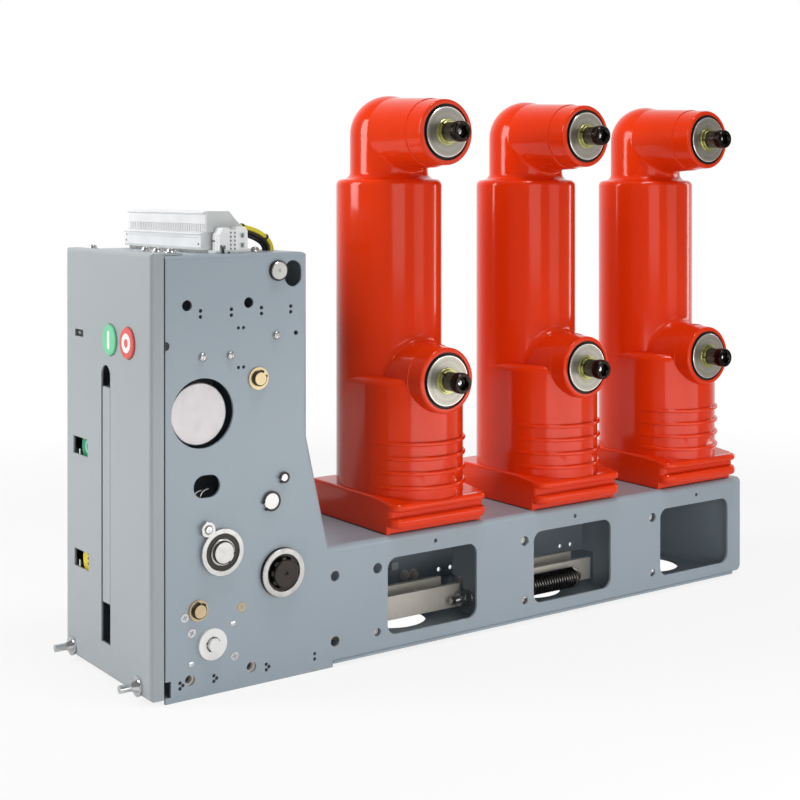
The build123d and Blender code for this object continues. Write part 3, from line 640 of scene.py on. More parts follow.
def crossScrew(name, radius, height, flat=False):
    # a head with a cross recess, its foot a little below the sheet
    if flat:
        steps = [(radius - 1.2, -1.4), (radius, -0.3), (radius, height - 0.15),
                 (radius - 0.2, height), (radius * 0.5, height)]
    else:
        steps = [(radius, -0.6), (radius, height * 0.25), (radius * 0.93, height * 0.60),
                 (radius * 0.72, height * 0.88), (radius * 0.40, height)]
    head = turned(name, steps, 32)
    for size in ((radius * 1.25, radius * 0.24, 1.6), (radius * 0.24, radius * 1.25, 1.6)):
        bm = bmesh.new()
        bmesh.ops.create_cube(bm, size=1)
        bmesh.ops.scale(bm, vec=size, verts=bm.verts)
        bmesh.ops.translate(bm, vec=(0, 0, height - 0.1), verts=bm.verts)
        head = cutAway(head, finished("cross", bm))
    return head


def ringNut(s):
    half, height, bore = s["flats"] / 2, s["height"], s["bore"]
    radius, high = s["studRadius"], s["studHigh"]
    nut = turned("hexNut", [(half, 0.05, half * 1.08), (half, 0.6, half * 1.16),
                            (half, height - 0.8, half * 1.16), (half, height, half * 1.04),
                            (bore + 0.8, height), (bore, height - 0.6), (bore, 1)])
    studEnd = turned("studEnd", [(radius, 0.2), (radius, high - 0.7), (radius - 0.7, high - 0.1),
                                 (0.6, high)], 32)
    return joined("ringNut", (nut, brightSteel), (studEnd, chrome))


def clip(pinRadius, s):
    # a retaining ring with two eared ends
    inner, outer = pinRadius - s["grip"], pinRadius + s["reach"]
    thick, gap, ear = s["thick"], s["gap"], s["ear"]
    outline = arc(outer, gap / 2, 360 - gap / 2, 40) + arc(inner, 360 - gap / 2, gap / 2, 40)
    ring = plate("clip", outline, thick, 0)
    lug = turned("lug", [(ear * 0.35, 0), (ear, 0), (ear, thick), (ear * 0.35, thick)], 16, True)
    middle = (inner + outer) / 2 + ear * 0.6
    lugs = [(lug, darkSteel, shifted(middle * cos(a), middle * sin(a), 0))
            for a in (radians(gap / 2 + 4), radians(-gap / 2 - 4))]
    return joined("clip", (ring, darkSteel), *lugs)


flatScrew = crossScrew("flatScrew", 4.6, 0.5, True)
screwKinds = {
    "round": (crossScrew("roundScrew", 4.4, 3.2), brightSteel),
    "flat": (flatScrew, chrome),
    "brassFlat": (flatScrew.copy(), brass),
    "rivet": (turned("rivetEnd", [(2.9, -0.5), (2.9, 0.35), (2.5, 0.6), (0.5, 0.62)], 24), chrome),
}
for kind, (mesh, finish) in screwKinds.items():
    row(f"near_{kind}", mesh, nearScrews[kind], finish, 20, 37)
piece("ring_nut", ringNut(hexNut), onPlate(plateSpots["nut"], 12))
for name, (radius, lift, turn) in clips.items():
    piece(f"clip_{name}", clip(radius, clipRing), onPlate(plateSpots[name], turn, lift))
print("fasteners of the mechanism side made")


# Rings, hub and disc of the mechanism side

chargingRing = {
    "floor": 2.95, "seal": (13.7, 18.8), "sealThick": 0.7, "sleeve": (11.0, 13.5), "rise": 5.4,
}
mainRing = {
    "floor": 2.95, "seal": (16.6, 19.2), "sealThick": 0.5, "side": (24.7, 25.3), "top": 4.1,
    "face": (19.0, 24.8), "faceTop": 5.3,
}
mainHub = {"teeth": 9, "tip": 16.4, "root": 13.8, "nose": 14.2, "length": 11.0, "rear": -202.4}
lockHex = {"disc": 3.0, "high": 4.0, "rim": (6.6, 7.5), "dots": 5, "dotCircle": 7.0, "dotStart": 20}


def flatRing(name, inner, outer, low, high, edge=0.2, sides=64):
    steps = [(inner, low), (outer - edge, low), (outer, low + edge), (outer, high - edge),
             (outer - edge, high), (inner + edge, high), (inner, high - edge)]
    return turned(name, steps, sides, True)


def chargingRingMesh(s):
    low = s["floor"]
    seal = flatRing("seal", *s["seal"], low, low + s["sealThick"])
    sleeve = flatRing("sleeve", *s["sleeve"], low, s["rise"], 0.6)
    return joined("chargingRing", (seal, darkSteel), (sleeve, brightSteel))


def mainRingMesh(s):
    low = s["floor"]
    seal = flatRing("seal", *s["seal"], low, low + s["sealThick"])
    side = flatRing("side", *s["side"], 0.05, s["top"])
    face = flatRing("face", *s["face"], low, s["faceTop"], 0.5)
    return joined("mainRing", (seal, darkSteel), (side, darkSteel), (face, brightSteel))


def toothedHub(s):
    # coarse splines round a plain nose, on a shaft that runs to the rear plate
    perTooth = 12
    sides = s["teeth"] * perTooth
    half = (s["tip"] + s["root"]) / 2

    def ring(height, tip, root):
        middle = min(half, (tip + root) / 2)
        profile = [tip] * 5 + [middle] + [root] * 5 + [middle]
        return [(profile[i % perTooth] * cos(tau * i / sides),
                 profile[i % perTooth] * sin(tau * i / sides), height) for i in range(sides)]

    tip, root, nose, length = s["tip"], s["root"], s["nose"], s["length"]
    rings = [ring(s["rear"], tip, tip), ring(-1.5, tip, tip), ring(-1.4, tip, root),
             ring(length - 3.4, tip, root), ring(length - 2.6, tip - 0.8, root),
             ring(length - 2.5, nose + 0.2, nose + 0.2), ring(length - 0.8, nose, nose),
             ring(length, nose - 0.9, nose - 0.9), ring(length, 2.2, 2.2),
             ring(length - 1.6, 0.8, 0.8)]
    return finished("toothedHub", lofted(bmesh.new(), rings))


def lockMesh(s):
    high = s["high"]
    rim = flatRing("rim", *s["rim"], s["disc"] + 0.02, s["disc"] + 0.35, 0.1, 48)
    crown = turned("crown", [(4.4, high + 0.02), (5.6, high + 0.02, 6.2),
                             (5.5, high + 0.25, 6.0), (4.5, high + 0.25)], 48, True)
    dot = turned("dot", [(1.0, 0.02), (1.0, 0.2), (0.2, 0.22)], 16)
    reach = s["dotCircle"]
    angles = [radians(s["dotStart"] + 360 / s["dots"] * k) for k in range(s["dots"])]
    dots = [(dot, darkSteel, shifted(reach * cos(a), reach * sin(a), s["disc"])) for a in angles]
    return joined("lockHexagon", (rim, darkSteel), (crown, darkSteel), *dots)


piece("charging_ring_seal", chargingRingMesh(chargingRing), onPlate(plateSpots["charging"]))
piece("main_ring_seal", mainRingMesh(mainRing), onPlate(plateSpots["main"]))
hub = piece("main_hub", toothedHub(mainHub), onPlate(plateSpots["main"], 8), hubSteel)
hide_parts("main_shaft")
piece("lock_hexagon", lockMesh(lockHex), onPlate(plateSpots["lock"]))

pinEnds = {
    # radius, how far it stands out
    "stub": (9.3, 4.0), "pin_steel": (9.0, 2.8), "pin_small": (4.5, 3.2),
}
pinInside = -12.0
stubClip = {"grip": 0.6, "reach": 1.3, "thick": 1.1, "gap": 40, "ear": 1.3}


def pinEnd(radius, proud):
    return turned("pinEnd", [(radius, pinInside), (radius, proud - 0.6), (radius - 0.6, proud),
                             (radius * 0.3, proud)])


def stubShadeMarks(radius, proud):
    # the plain face of the round stub gets a black disc as painted shade of a small centre hole, and a dark
    # ring round the pin as painted shade of the gap it stands in
    ringMark = flatRing("ringMark", radius, radius + 0.9, 0.05, 2.4, 0.2, 48)
    centre = turned("centre", [(1.6, proud - 0.2), (1.6, proud + 0.04), (1.1, proud + 0.06),
                               (1.0, proud - 0.1)], 24)
    return joined("stubShadeRing", (ringMark, darkSteel), (centre, blackPlastic))


rods = [(pinEnd(*size), brightSteel, shifted(*plateSpots[name], 0)) for name, size in pinEnds.items()]
pins = piece("pivot_pin_ends", joined("pivotPins", *rods), onPlate((0, 0)))
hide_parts("pivot_pins")
piece("stub_shade_ring", stubShadeMarks(*pinEnds["stub"]), onPlate(plateSpots["stub"]))
piece("clip_stub", clip(pinEnds["stub"][0], stubClip), onPlate(plateSpots["stub"], -10, 1.6))

# What shows in and behind the plate's holes
nutBehind = {"spots": [(27.7, 19.1), (97.8, 19.1)], "bore": 4.1, "outer": 8.0}
boltBehind = {
    "spots": [(465.0, 96.2), (255.0, 26.8), (465.0, 26.8), (675.0, 26.8), (675.0, 96.2)], "radius": 4.2,
}
# thin black discs beside the low holes of the plate: painted shade for the holes' lobes
lobeShades = {"spots": [(16.7, 15.7), (54.6, 15.7), (115.4, 15.7)], "reach": 3.0, "radius": 1.9}
guideArcs = {
    "spots": [(43.6, 196.0), (51.4, 196.6)], "radius": 9.0, "wire": 0.7, "depth": 7.0,
    "angles": (176, 158, 140, 122, 104, 88),
}
# a thin black half disc at the plate's edge stands for the notch: painted shade of the opening
notchShade = {"spot": (0.9, 352.5), "radius": 4.4, "thick": 0.25}


def nutBehindMesh(s):
    bore, outer = s["bore"], s["outer"]
    return turned("nutBehind", [(bore, -9), (outer, -9), (outer, -3.1), (bore + 1.1, -3.1),
                                (bore, -4.2)], 48, True)


def boltBehindMesh(s):
    radius = s["radius"]
    return turned("boltBehind", [(radius, -14), (radius, -5.4), (radius - 0.9, -4.6),
                                 (radius * 0.5, -4.5), (radius * 0.42, -5.6), (0.4, -5.7)], 40)


def lobeShadesMesh(s):
    lobe = turned("lobe", [(s["radius"], -0.1), (s["radius"], 0.03), (0.3, 0.04)], 24)
    lobes = [(lobe, blackPlastic, shifted(x + s["reach"], z, 0)) for x, z in s["spots"]]
    return joined("lobeShades", *lobes)


def guideArc(s, x, z):
    angles = [radians(a) for a in s["angles"]]
    points = [(x + s["radius"] * cos(a), s["depth"], z + s["radius"] * sin(a)) for a in angles]
    return tube("guideArc", points, s["wire"], 8)


row("nut_behind", nutBehindMesh(nutBehind), nutBehind["spots"], paintedLightZinc)
row("bolt_behind", boltBehindMesh(boltBehind), boltBehind["spots"], paintedLightZinc)
piece("lobe_shades", lobeShadesMesh(lobeShades), onPlate((0, 0)))
for k, spot in enumerate(guideArcs["spots"]):
    piece(f"guide_arc_{k + 1}", guideArc(guideArcs, *spot), placed(0, 0, 0, "up"), brightSteel)
halfDisc = plate("notchShade", arc(notchShade["radius"], -90, 90, 16), notchShade["thick"], 0)
piece("notch_shade", halfDisc, onPlate(notchShade["spot"]), blackPlastic)
print("rings and hub made")


# Marks of the two buttons, and the indicators behind their windows

buttonMark = {
    "face": -17.6, "z": 352.5, "close": 91.8, "open": 50.0,
    "bar": (5.4, 19.5), "ring": (4.4, 9.9), "lift": 0.25, "rim": (15.2, 16.0), "rimBack": 0.9,
}
flagSet = {
    "front": -10.2, "thick": 2.0, "radius": 15.5, "centre": 8.0, "ring": (4.2, 7.4),
    "arm": (30.0, 15.0, 1.6), "armAt": (-28.0, -4.0), "shadeSheet": (50.0, 30.0, 1.2), "shadeSheetAt": -14.0,
    "strokes": 5, "stroke": (7.0, 1.3, 0.3), "strokeStep": 2.8, "strokeLean": 24,
}
flagPlaces = {"state": (167.5, 232.7), "charge": (164.8, 112.2)}
counterFace = {
    "x": -12.8, "y": 170.8, "z": 353.6, "width": 30.0, "height": 18.0,
    "wheels": 3, "wheelStart": -5.4, "wheelStep": 1.9,
}


def barMark(s):
    wide, tall = s["bar"]
    high = tall / 2 - wide / 2
    outline = arc(wide / 2, 0, 180, 10, (0, high)) + arc(wide / 2, 180, 360, 10, (0, -high))
    return plate("barMark", outline, s["lift"], 0.1)


def onButton(s, name, back):
    return placed(s["face"] + back, s[name], s["z"], "front")


def flagMesh(s, discFinish, marks):
    # a round disc on a dark arm, before a black sheet that fills the window as painted shade
    centre = s["centre"]
    along, below = s["armAt"]
    disc = plate("disc", arc(s["radius"], 0, 350, 48, (centre, 0)), s["thick"], 0.3)
    arm = block("arm", s["arm"], 0.3)
    # the black sheet behind the disc is painted shade of the window's inside
    shadeSheet = block("shadeSheet", s["shadeSheet"], 0.3)
    return joined("flag", (disc, discFinish, shifted(0, 0, -s["thick"])),
                  (arm, blackPlastic, shifted(centre + along, 0, -s["thick"] + below)),
                  (shadeSheet, blackPlastic, shifted(0, 0, s["shadeSheetAt"])), *marks)


def stateMarks(s):
    ring = flatRing("ringShape", *s["ring"], 0.0, 0.25, 0.1)
    return [(ring, flagRing, shifted(s["centre"] + 1, 0, 0))]


def chargeMarks(s):
    # a zigzag of short strokes
    stroke = block("stroke", s["stroke"], 0.1)
    step, lean = s["strokeStep"], s["strokeLean"]
    return [(stroke, blackPlastic, shifted(s["centre"], 2 * step - step * k, 0.1, lean if k % 2 else -lean))
            for k in range(s["strokes"])]


def counterMesh(s):
    bezel = block("bezel", (s["width"], s["height"], 0.6), 0.15)
    wheel = turned("wheel", [(2.9, 0), (3.1, 0.2), (3.1, 1.5), (2.9, 1.7)], 32)
    wheels = [(wheel, wheelGrey, shifted(s["wheelStart"] + s["wheelStep"] * k, 0, -2.3, 90, "Y"))
              for k in range(s["wheels"])]
    return joined("counterWheels", (bezel, blackPlastic, shifted(0, 0, 0.3)), *wheels)


piece("close_button_mark", barMark(buttonMark), onButton(buttonMark, "close", -0.01), markWhite,
      "close_button_body")
piece("open_button_mark", flatRing("ringMark", *buttonMark["ring"], 0.0, buttonMark["lift"], 0.1),
      onButton(buttonMark, "open", -0.01), markWhite, "open_button_body")
piece("close_button_rim", flatRing("buttonRim", *buttonMark["rim"], -2.0, 0.05, 0.3),
      onButton(buttonMark, "close", buttonMark["rimBack"]), flagRing, "close_button_body")
flagMeshes = {
    "state": flagMesh(flagSet, flagGreen, stateMarks(flagSet)),
    "charge": flagMesh(flagSet, yellowPlastic, chargeMarks(flagSet)),
}
for name, mesh in flagMeshes.items():
    flag = piece(f"{name}_disc", mesh, placed(flagSet["front"], *flagPlaces[name], "front"))
    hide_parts(f"{name}_flag")
piece("counter_wheels", counterMesh(counterFace),
      placed(counterFace["x"], counterFace["y"], counterFace["z"], "front"))
print("marks and indicators made")


# Screws on the roof

roofScrew = {
    "radius": 4.6, "head": 3.6, "washer": 6.4, "thick": 1.2,
    # X, Y, height over the roof
    "places": [(12, 196, 0), (12, 66, 2), (12, 40, 2), (15, 16, 2), (124, 38, 0), (150, 190, 0),
               (124, 150, 0)],
}


def roofScrewMesh(s):
    washer = flatRing("washer", s["radius"] - 0.6, s["washer"], 0.02, s["thick"], 0.3)
    head = crossScrew("roofHead", s["radius"], s["thick"] + s["head"])
    return joined("roofScrew", (washer, chrome), (head, brightSteel))


roofMesh = roofScrewMesh(roofScrew)
for k, (x, y, high) in enumerate(roofScrew["places"]):
    piece(f"roof_screw_{k + 1}", roofMesh, placed(x, y, roofZ + high, "up", 25 + 40 * k))
print("roof screws made")


# Clamp and marker strip at the near end of the terminals

endClamp = {
    "starts": (25.6, 20.4, 15.2), "thick": 4.4, "front": 10.4,
    "outline": [(67, 0.2), (100, 0.2), (100, 23), (96.5, 27), (89, 27), (87, 23.5), (80.5, 23.5),
                (78.5, 26), (71, 26), (69, 21), (67, 19)],
    "holes": [(x, 4.5 + 4.1 * k) for x in (80.0, 84.6) for k in range(5)],
    "frames": [(93.5, 8.0), (93.5, 18.0)],
    "slots": [(72.5, 6.0), (93.5, 8.0), (93.5, 18.0)],
}
railEnd = {"size": (40.0, 18.0, 2.8), "x": 82.5, "y": 18.0, "high": 1.5}
terminalStrip = {
    "x": 56.0, "start": 30.3, "end": 210.0, "dotInset": 5.0, "dotHigh": 9.0,
    # name: finish, room left at the ends, height, thickness, edge, X, height over the roof
    "strips": {
        # the first strip is a painted shadow line along the foot of the terminal strip
        "strip_shadow_line": (greyPlastic, 2.0, 2.6, 0.6, 0.1, 55.9, 4.4),
        "strip_lip": (whitePlastic, 0.0, 1.6, 2.4, 0.5, 55.4, 19.4),
        "block_crest": (whitePlastic, 0.0, 2.0, 3.0, 0.6, 60.6, 40.8),
    },
}
tailWires = {
    "radius": 1.3,
    "routes": [
        ((70, 24, 8), (71, 17, 9), (73, 12, 5), (73, 11, 0.4)),
        ((74, 24, 5), (75, 16, 6), (77, 12, 3), (77, 9, 0.4)),
        ((68, 26, 12), (68, 18, 14), (69.5, 9, 8), (69.5, 7, 0.4)),
    ],
}


def endClampMesh(s):
    front = s["front"]
    leaf = plate("leaf", s["outline"], s["thick"], 0.4)
    # grey squares and slot blocks on the clamp's face are painted shade of its openings and screw slots
    hole = block("hole", (1.7, 1.7, 0.5), 0.2)
    markFrame = flatRing("markFrame", 3.0, 4.0, 0.0, 0.3, 0.1, 4)
    screwSlotShade = block("screwSlotShade", (2.6, 4.0, 0.5), 0.3)
    leaves = [(leaf, whitePlastic, shifted(0, 0, -y)) for y in s["starts"]]
    holes = [(hole, openingShadeGrey, shifted(x, z, -front + 0.1)) for x, z in s["holes"]]
    frames = [(markFrame, greyPlastic, shifted(x, z, -front - 0.3, 45)) for x, z in s["frames"]]
    slots = [(screwSlotShade, openingShadeGrey, shifted(x, z, -front + 0.1)) for x, z in s["slots"]]
    return joined("endClamp", *leaves, *holes, *frames, *slots)


piece("end_clamp", endClampMesh(endClamp), placed(0, 0, roofZ, "near"))
piece("rail_end", block("railEnd", railEnd["size"], 0.4),
      placed(railEnd["x"], railEnd["y"], roofZ + railEnd["high"], "up"), greyPlastic)
stripStart, stripEnd = terminalStrip["start"], terminalStrip["end"]
dotMesh = turned("stripDot", [(1.3, -0.3), (1.3, 0.05), (0.9, 0.12), (0.2, 0.12)], 20)
for k, y in enumerate((stripStart + terminalStrip["dotInset"], stripEnd - terminalStrip["dotInset"])):
    piece(f"strip_dot_{k + 1}", dotMesh,
          placed(terminalStrip["x"], y, roofZ + terminalStrip["dotHigh"], "front"), darkSteel)
for name, (finish, room, tall, thick, edge, x, high) in terminalStrip["strips"].items():
    piece(name, block(name, (stripEnd - stripStart - room, tall, thick), edge),
          placed(x, (stripStart + stripEnd) / 2, roofZ + high, "front"), finish)
for k, route in enumerate(tailWires["routes"]):
    piece(f"tail_wire_{k + 1}", tube("tailWire", route, tailWires["radius"]), placed(0, 0, roofZ, "up"),
          blackSheath)
print("terminal clamp made")


# Wires of the harness, laid round one route with a slight twist

harnessSet = {
    # X, Z and the way up at each point of the route
    "route": [(100.6, 466.4, 80), (110.0, 465.0, 80), (120.0, 462.8, 76), (130.0, 459.6, 68),
              (139.0, 454.8, 50), (144.6, 449.0, 20), (146.0, 444.0, 4), (146.0, 440.6, 0)],
    "y": 48.0, "wire": 1.55, "twist": -5.0,
    "ring": 4.9, "count": 9, "yellow": (1, 2), "innerRing": 1.9, "innerCount": 3,
    "tie": (6.3, 6.9, -1.3, 1.3),
    # X, Z and lean of each tie
    "ties": [(113.0, 464.4, 101), (139.6, 454.4, 140)],
}


def harnessWire(s, reach, angle):
    points = []
    for step, (x, z, up) in enumerate(s["route"]):
        around = radians(angle + s["twist"] * step)
        side, rise = reach * cos(around), reach * sin(around)
        points.append((x + rise * cos(radians(up)), s["y"] - side, z + rise * sin(radians(up))))
    return tube("wire", points, s["wire"], 10)


def harnessMesh(s):
    wires = []
    for k in range(s["count"]):
        sheath = yellowSheath if k in s["yellow"] else blackSheath
        wires.append((harnessWire(s, s["ring"], 360 * k / s["count"]), sheath))
    for k in range(s["innerCount"]):
        wires.append((harnessWire(s, s["innerRing"], 360 * k / s["innerCount"]), blackSheath))
    tie = flatRing("tie", *s["tie"], 0.3, 40)
    ties = [(tie, blackPlastic, shifted(x, s["y"], z, lean, "Y")) for x, z, lean in s["ties"]]
    return joined("harnessWires", *wires, *ties)


harness = piece("harness_wires", harnessMesh(harnessSet), placed(0, 0, 0, "up"))
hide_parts("wire_harness")
print("harness made")


# Inside the base: stop screw, opening spring and bolts

stopSet = {
    "x": 419.0, "y": 48.0, "z": 27.0, "radius": 4.5, "length": 27.0, "pitch": 1.5, "thread": 0.4,
    "flats": 16.0, "nut": 9.0, "washer": 9.2,
}
springSet = {
    "start": 505.0, "end": 581.0, "y": 45.0, "z": 27.0, "coil": 11.5, "wire": 1.35, "turns": 19,
    "perTurn": 12, "anchor": 422.0, "rod": 3.0, "eye": 587.0, "bar": 60.5,
    # the hook's way from the last coil to the eye, as X from the eye, Y and Z
    "hook": [(-3.5, 1.0, 9.5), (-0.5, -1.5, 8.2), (2.4, -2.0, 5.0), (2.6, -2.0, -1.5),
             (0.5, -2.0, -5.6), (-4.0, -2.0, -5.8)],
}
panEdge = {"from": 197.4, "to": 820.0, "z": 5.2, "high": 3.0, "thick": 1.4}
wallBolts = {
    "y": 202.6, "hexagon": [(437.5, 17.8), (451.5, 17.0)], "square": [(418.5, 33.0)],
    "nut": (10.5, 9.5, 7.0), "nutSeat": 3.55,
}


def threadSteps(radius, pitch, low, high, depth):
    steps = []
    for i in range(int((high - low) / pitch)):
        base = low + i * pitch
        steps += [(radius - depth, base), (radius, base + pitch * 0.4), (radius, base + pitch * 0.6)]
    return steps


def nutSteps(flats, low, high, bore):
    half = flats / 2
    return [(bore, low + 0.4), (half, low, half * 1.05), (half, low + 0.6, half * 1.16),
            (half, high - 0.7, half * 1.16), (half, high, half * 1.03), (bore + 0.6, high),
            (bore, high - 0.5)]


def stopMesh(s):
    radius, length, nut = s["radius"], s["length"], s["nut"]
    neck = radius - s["thread"]
    steps = [(radius, 0.1)] + threadSteps(radius, s["pitch"], 0.3, length - 3, s["thread"])
    steps += [(neck, length - 2.6), (neck, length - 0.8), (radius - 1.2, length)]
    rod = turned("rod", steps, 32)
    stopNut = turned("stopNut", nutSteps(s["flats"], 1.6, nut + 1.6, radius - 0.2), 48, True)
    washer = flatRing("stopWasher", radius, s["washer"], 0.05, 1.5, 0.3)
    thinNut = turned("thinNut", nutSteps(s["flats"] - 2, nut + 2.0, nut + 6.5, radius - 0.2), 48, True)
    return joined("stopScrew", (rod, brightSteel), (stopNut, brightSteel), (washer, chrome),
                  (thinNut, brightSteel))


def coilPoints(s, firstTurn, lastTurn):
    perTurn = s["perTurn"]
    length = s["end"] - s["start"]
    points = []
    for i in range(int(firstTurn * perTurn), int(lastTurn * perTurn) + 1):
        angle = tau * i / perTurn
        points.append((length * i / (s["turns"] * perTurn), s["coil"] * cos(angle),
                       s["coil"] * sin(angle)))
    return points


def springMesh(s):
    # the coils, a hook at the right end, and a rod to the bracket at the left one
    turns, rod = s["turns"], s["rod"]
    over = s["eye"] - s["start"]
    reach = s["start"] - s["anchor"]
    coils = tube("coils", coilPoints(s, 0, turns - 0.5), s["wire"], 8)
    hookPath = coilPoints(s, turns - 0.5, turns + 0.25) + [(over + x, y, z) for x, y, z in s["hook"]]
    hook = tube("hook", hookPath, s["wire"] + 0.1, 8)
    startRod = turned("startRod", [(rod, 0), (rod, reach + 4), (rod / 2, reach + 5)], 24)
    startEnd = turned("startEnd", [(3, 0), (9.5, 0.6), (12.0, 2.5), (12.0, 3.5), (10.0, 5.0), (3, 5.4)], 40)
    bolt = turned("bolt", [(3.6, 0.0), (3.6, 14.0), (5.6, 14.0, 6.4), (5.6, 18.2, 6.4),
                           (5.2, 18.8, 5.7), (2.0, 18.8)])
    return joined("openingSpring", (coils, springSteel), (hook, brightSteel),
                  (startRod, darkSteel, shifted(-reach, 0, 0, 90, "Y")),
                  (startEnd, darkSteel, shifted(-5, 0, 0, 90, "Y")),
                  (bolt, plainSteel, shifted(over, s["bar"] - s["y"], 0, 90, "X")))


stop = piece("stop_screw_set", stopMesh(stopSet),
             placed(stopSet["x"], stopSet["y"], stopSet["z"], "front", 11))
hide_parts("stop_screw")
spring = piece("opening_spring_set", springMesh(springSet),
               placed(springSet["start"], springSet["y"], springSet["z"], "up"))
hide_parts("opening_spring")
panStart, panStop, panThick = panEdge["from"], panEdge["to"], panEdge["thick"]
piece("pan_edge", block("panEdge", (panStop - panStart, panEdge["high"], panThick), 0.5),
      placed((panStart + panStop) / 2, -panThick / 2, panEdge["z"], "near"), framePaint)
hexMesh = turned("wallBolt", [(5.0, 0.05), (6.6, 0.1), (6.6, 1.0), (5.2, 1.1), (4.9, 1.1, 5.5),
                              (4.9, 5.0, 5.5), (4.6, 5.6, 5.0), (3.0, 5.6), (2.6, 7.4), (0.6, 7.6)])
for k, (x, z) in enumerate(wallBolts["hexagon"]):
    piece(f"wall_bolt_{k + 1}", hexMesh, placed(x, wallBolts["y"], z, "near", 10 + 25 * k), paintedLightZinc)
for k, (x, z) in enumerate(wallBolts["square"]):
    piece(f"wall_nut_{k + 1}", block("wallNut", wallBolts["nut"], 0.6),
          placed(x, wallBolts["y"] - wallBolts["nutSeat"], z, "near"), greyPlastic)
print("inside of the base made")


# Dark rings round the plinth feet and in the terminal grooves, and the rounded edge of each cap

poleTrim = {
    "half": 66.4, "front": 5.4, "rear": 163.0, "corner": 8.6, "thick": 1.0, "inset": 3.0,
    "roof": 128.5, "seal": (28.3, 31.5, -3.9, -2.0), "capEdge": (38.35, 0.55),
    "plateBore": 9.0, "plateFace": (27.9, 1.6), "discSideShade": 28.6,
    # Y of the face, length of the cap
    "upper": (-16.4, 26.0), "lower": (-17.0, 22.0),
}


def roundedOutline(half, front, rear, radius):
    corners = [(half - radius, rear - radius, 0), (radius - half, rear - radius, 90),
               (radius - half, front + radius, 180), (half - radius, front + radius, 270)]
    outline = []
    for x, y, first in corners:
        outline += arc(radius, first, first + 90, 8, (x, y))
    return outline


# a thin dark ring round the foot of each plinth, which draws the dark line where plinth and base top meet
def plinthFootRingMesh(s):
    half, front, rear, corner, inset = s["half"], s["front"], s["rear"], s["corner"], s["inset"]
    outer = roundedOutline(half, front, rear, corner)
    inner = roundedOutline(half - inset, front + inset, rear - inset, corner - inset)
    rings = [[(x, y, 0.0) for x, y in inner], [(x, y, 0.0) for x, y in outer],
             [(x, y, s["thick"]) for x, y in outer], [(x, y, s["thick"]) for x, y in inner]]
    return finished("plinthFootRing", lofted(bmesh.new(), rings, True))


def capTrim(s, capLength):
    # a dark ring at the bottom of the groove, the contact's disc with a dark band round its side as painted
    # shade, and the small round where cap meets arm
    inner, outer, low, high = s["seal"]
    middle, bead = s["capEdge"]
    bore = s["plateBore"]
    faceR, proud = s["plateFace"]
    seal = flatRing("seal", inner, outer, low, high, 0.2, 96)
    discSideShade = flatRing("discSideShade", faceR - 0.4, s["discSideShade"], low, proud - 0.5, 0.2, 96)
    plateFace = turned("plateFace", [(bore, 0.0), (faceR, 0.0), (faceR + 0.5, proud - 0.6),
                                     (faceR - 0.2, proud), (bore, proud)], 96, True)
    around = [tau * k / 8 for k in range(8)]
    edge = turned("edge", [(middle + bead * cos(a), bead * sin(a) - capLength) for a in around],
                  96, True)
    return joined("capTrim", (seal, darkRingFinish), (edge, castResin), (discSideShade, darkRingFinish),
                  (plateFace, contactFace))


plinthFootRing = plinthFootRingMesh(poleTrim)
trims = {level: capTrim(poleTrim, poleTrim[level][1]) for level in ("upper", "lower")}
for k in range(poleCount):
    x = poleX + polePitch * k
    piece(f"gasket_{k + 1}", plinthFootRing, placed(x, 0, poleTrim["roof"], "up"), darkRingFinish)
    for level, trim in trims.items():
        piece(f"terminal_trim_{level}_{k + 1}", trim,
              placed(x, poleTrim[level][0], contactZ[level], "near"))
print("gaskets and seal rings made")


# Floor, light and camera

cameraSet = {
    "place": (-0.7545, -1.4004, 0.50505), "turn": (89.83, 0.01, -35.82),
    "lens": 65.76, "sensor": 36.0, "rise": -0.2557,
}
floorSet = {
    "half": 1.7, "centre": (0.33, 0.0), "shade": 0.74, "clear": 0.75, "gone": 1.6, "white": 0.84,
    "behind": (0.585, 0.811, 0.2, 0.9),
    # X and Y bounds of the floor under the base that the camera sees white: painted light in place of the
    # base's shadow
    "bay": (0.110, 0.715, -0.095, 0.095),
}
lampSet = {
    # name: place, what it looks at, width, height, power
    "key": ((-1.75, 0.9, 1.15), (0.15, 0, 0.35), 0.85, 1.5, 41),
    "front": ((-0.35, -2.2, 0.75), (0.25, 0, 0.28), 1.1, 1.0, 7),
    "side": ((1.35, -1.75, 0.55), (0.4, 0, 0.35), 0.9, 0.7, 2.4),
    "low": ((0.42, -0.78, 0.13), (0.42, 0, 0.11), 1.3, 0.2, 1.9),
    "right": ((2.4, -0.2, 0.7), (0.6, 0, 0.3), 0.3, 1.3, 5),
    "top": ((0.25, -0.55, 2.3), (0.3, 0, 0.3), 0.5, 0.5, 17),
}
worldSet = {
    "level": 0.31, "behind": (0.585, 0.811, 0.0), "turn": (0.2, 0.85), "glow": (0.22, 1.0),
}


def lookFrom(place, target):
    back = (Vector(place) - Vector(target)).normalized()
    return Matrix.Translation(place) @ back.to_track_quat("Z", "Y").to_matrix().to_4x4()


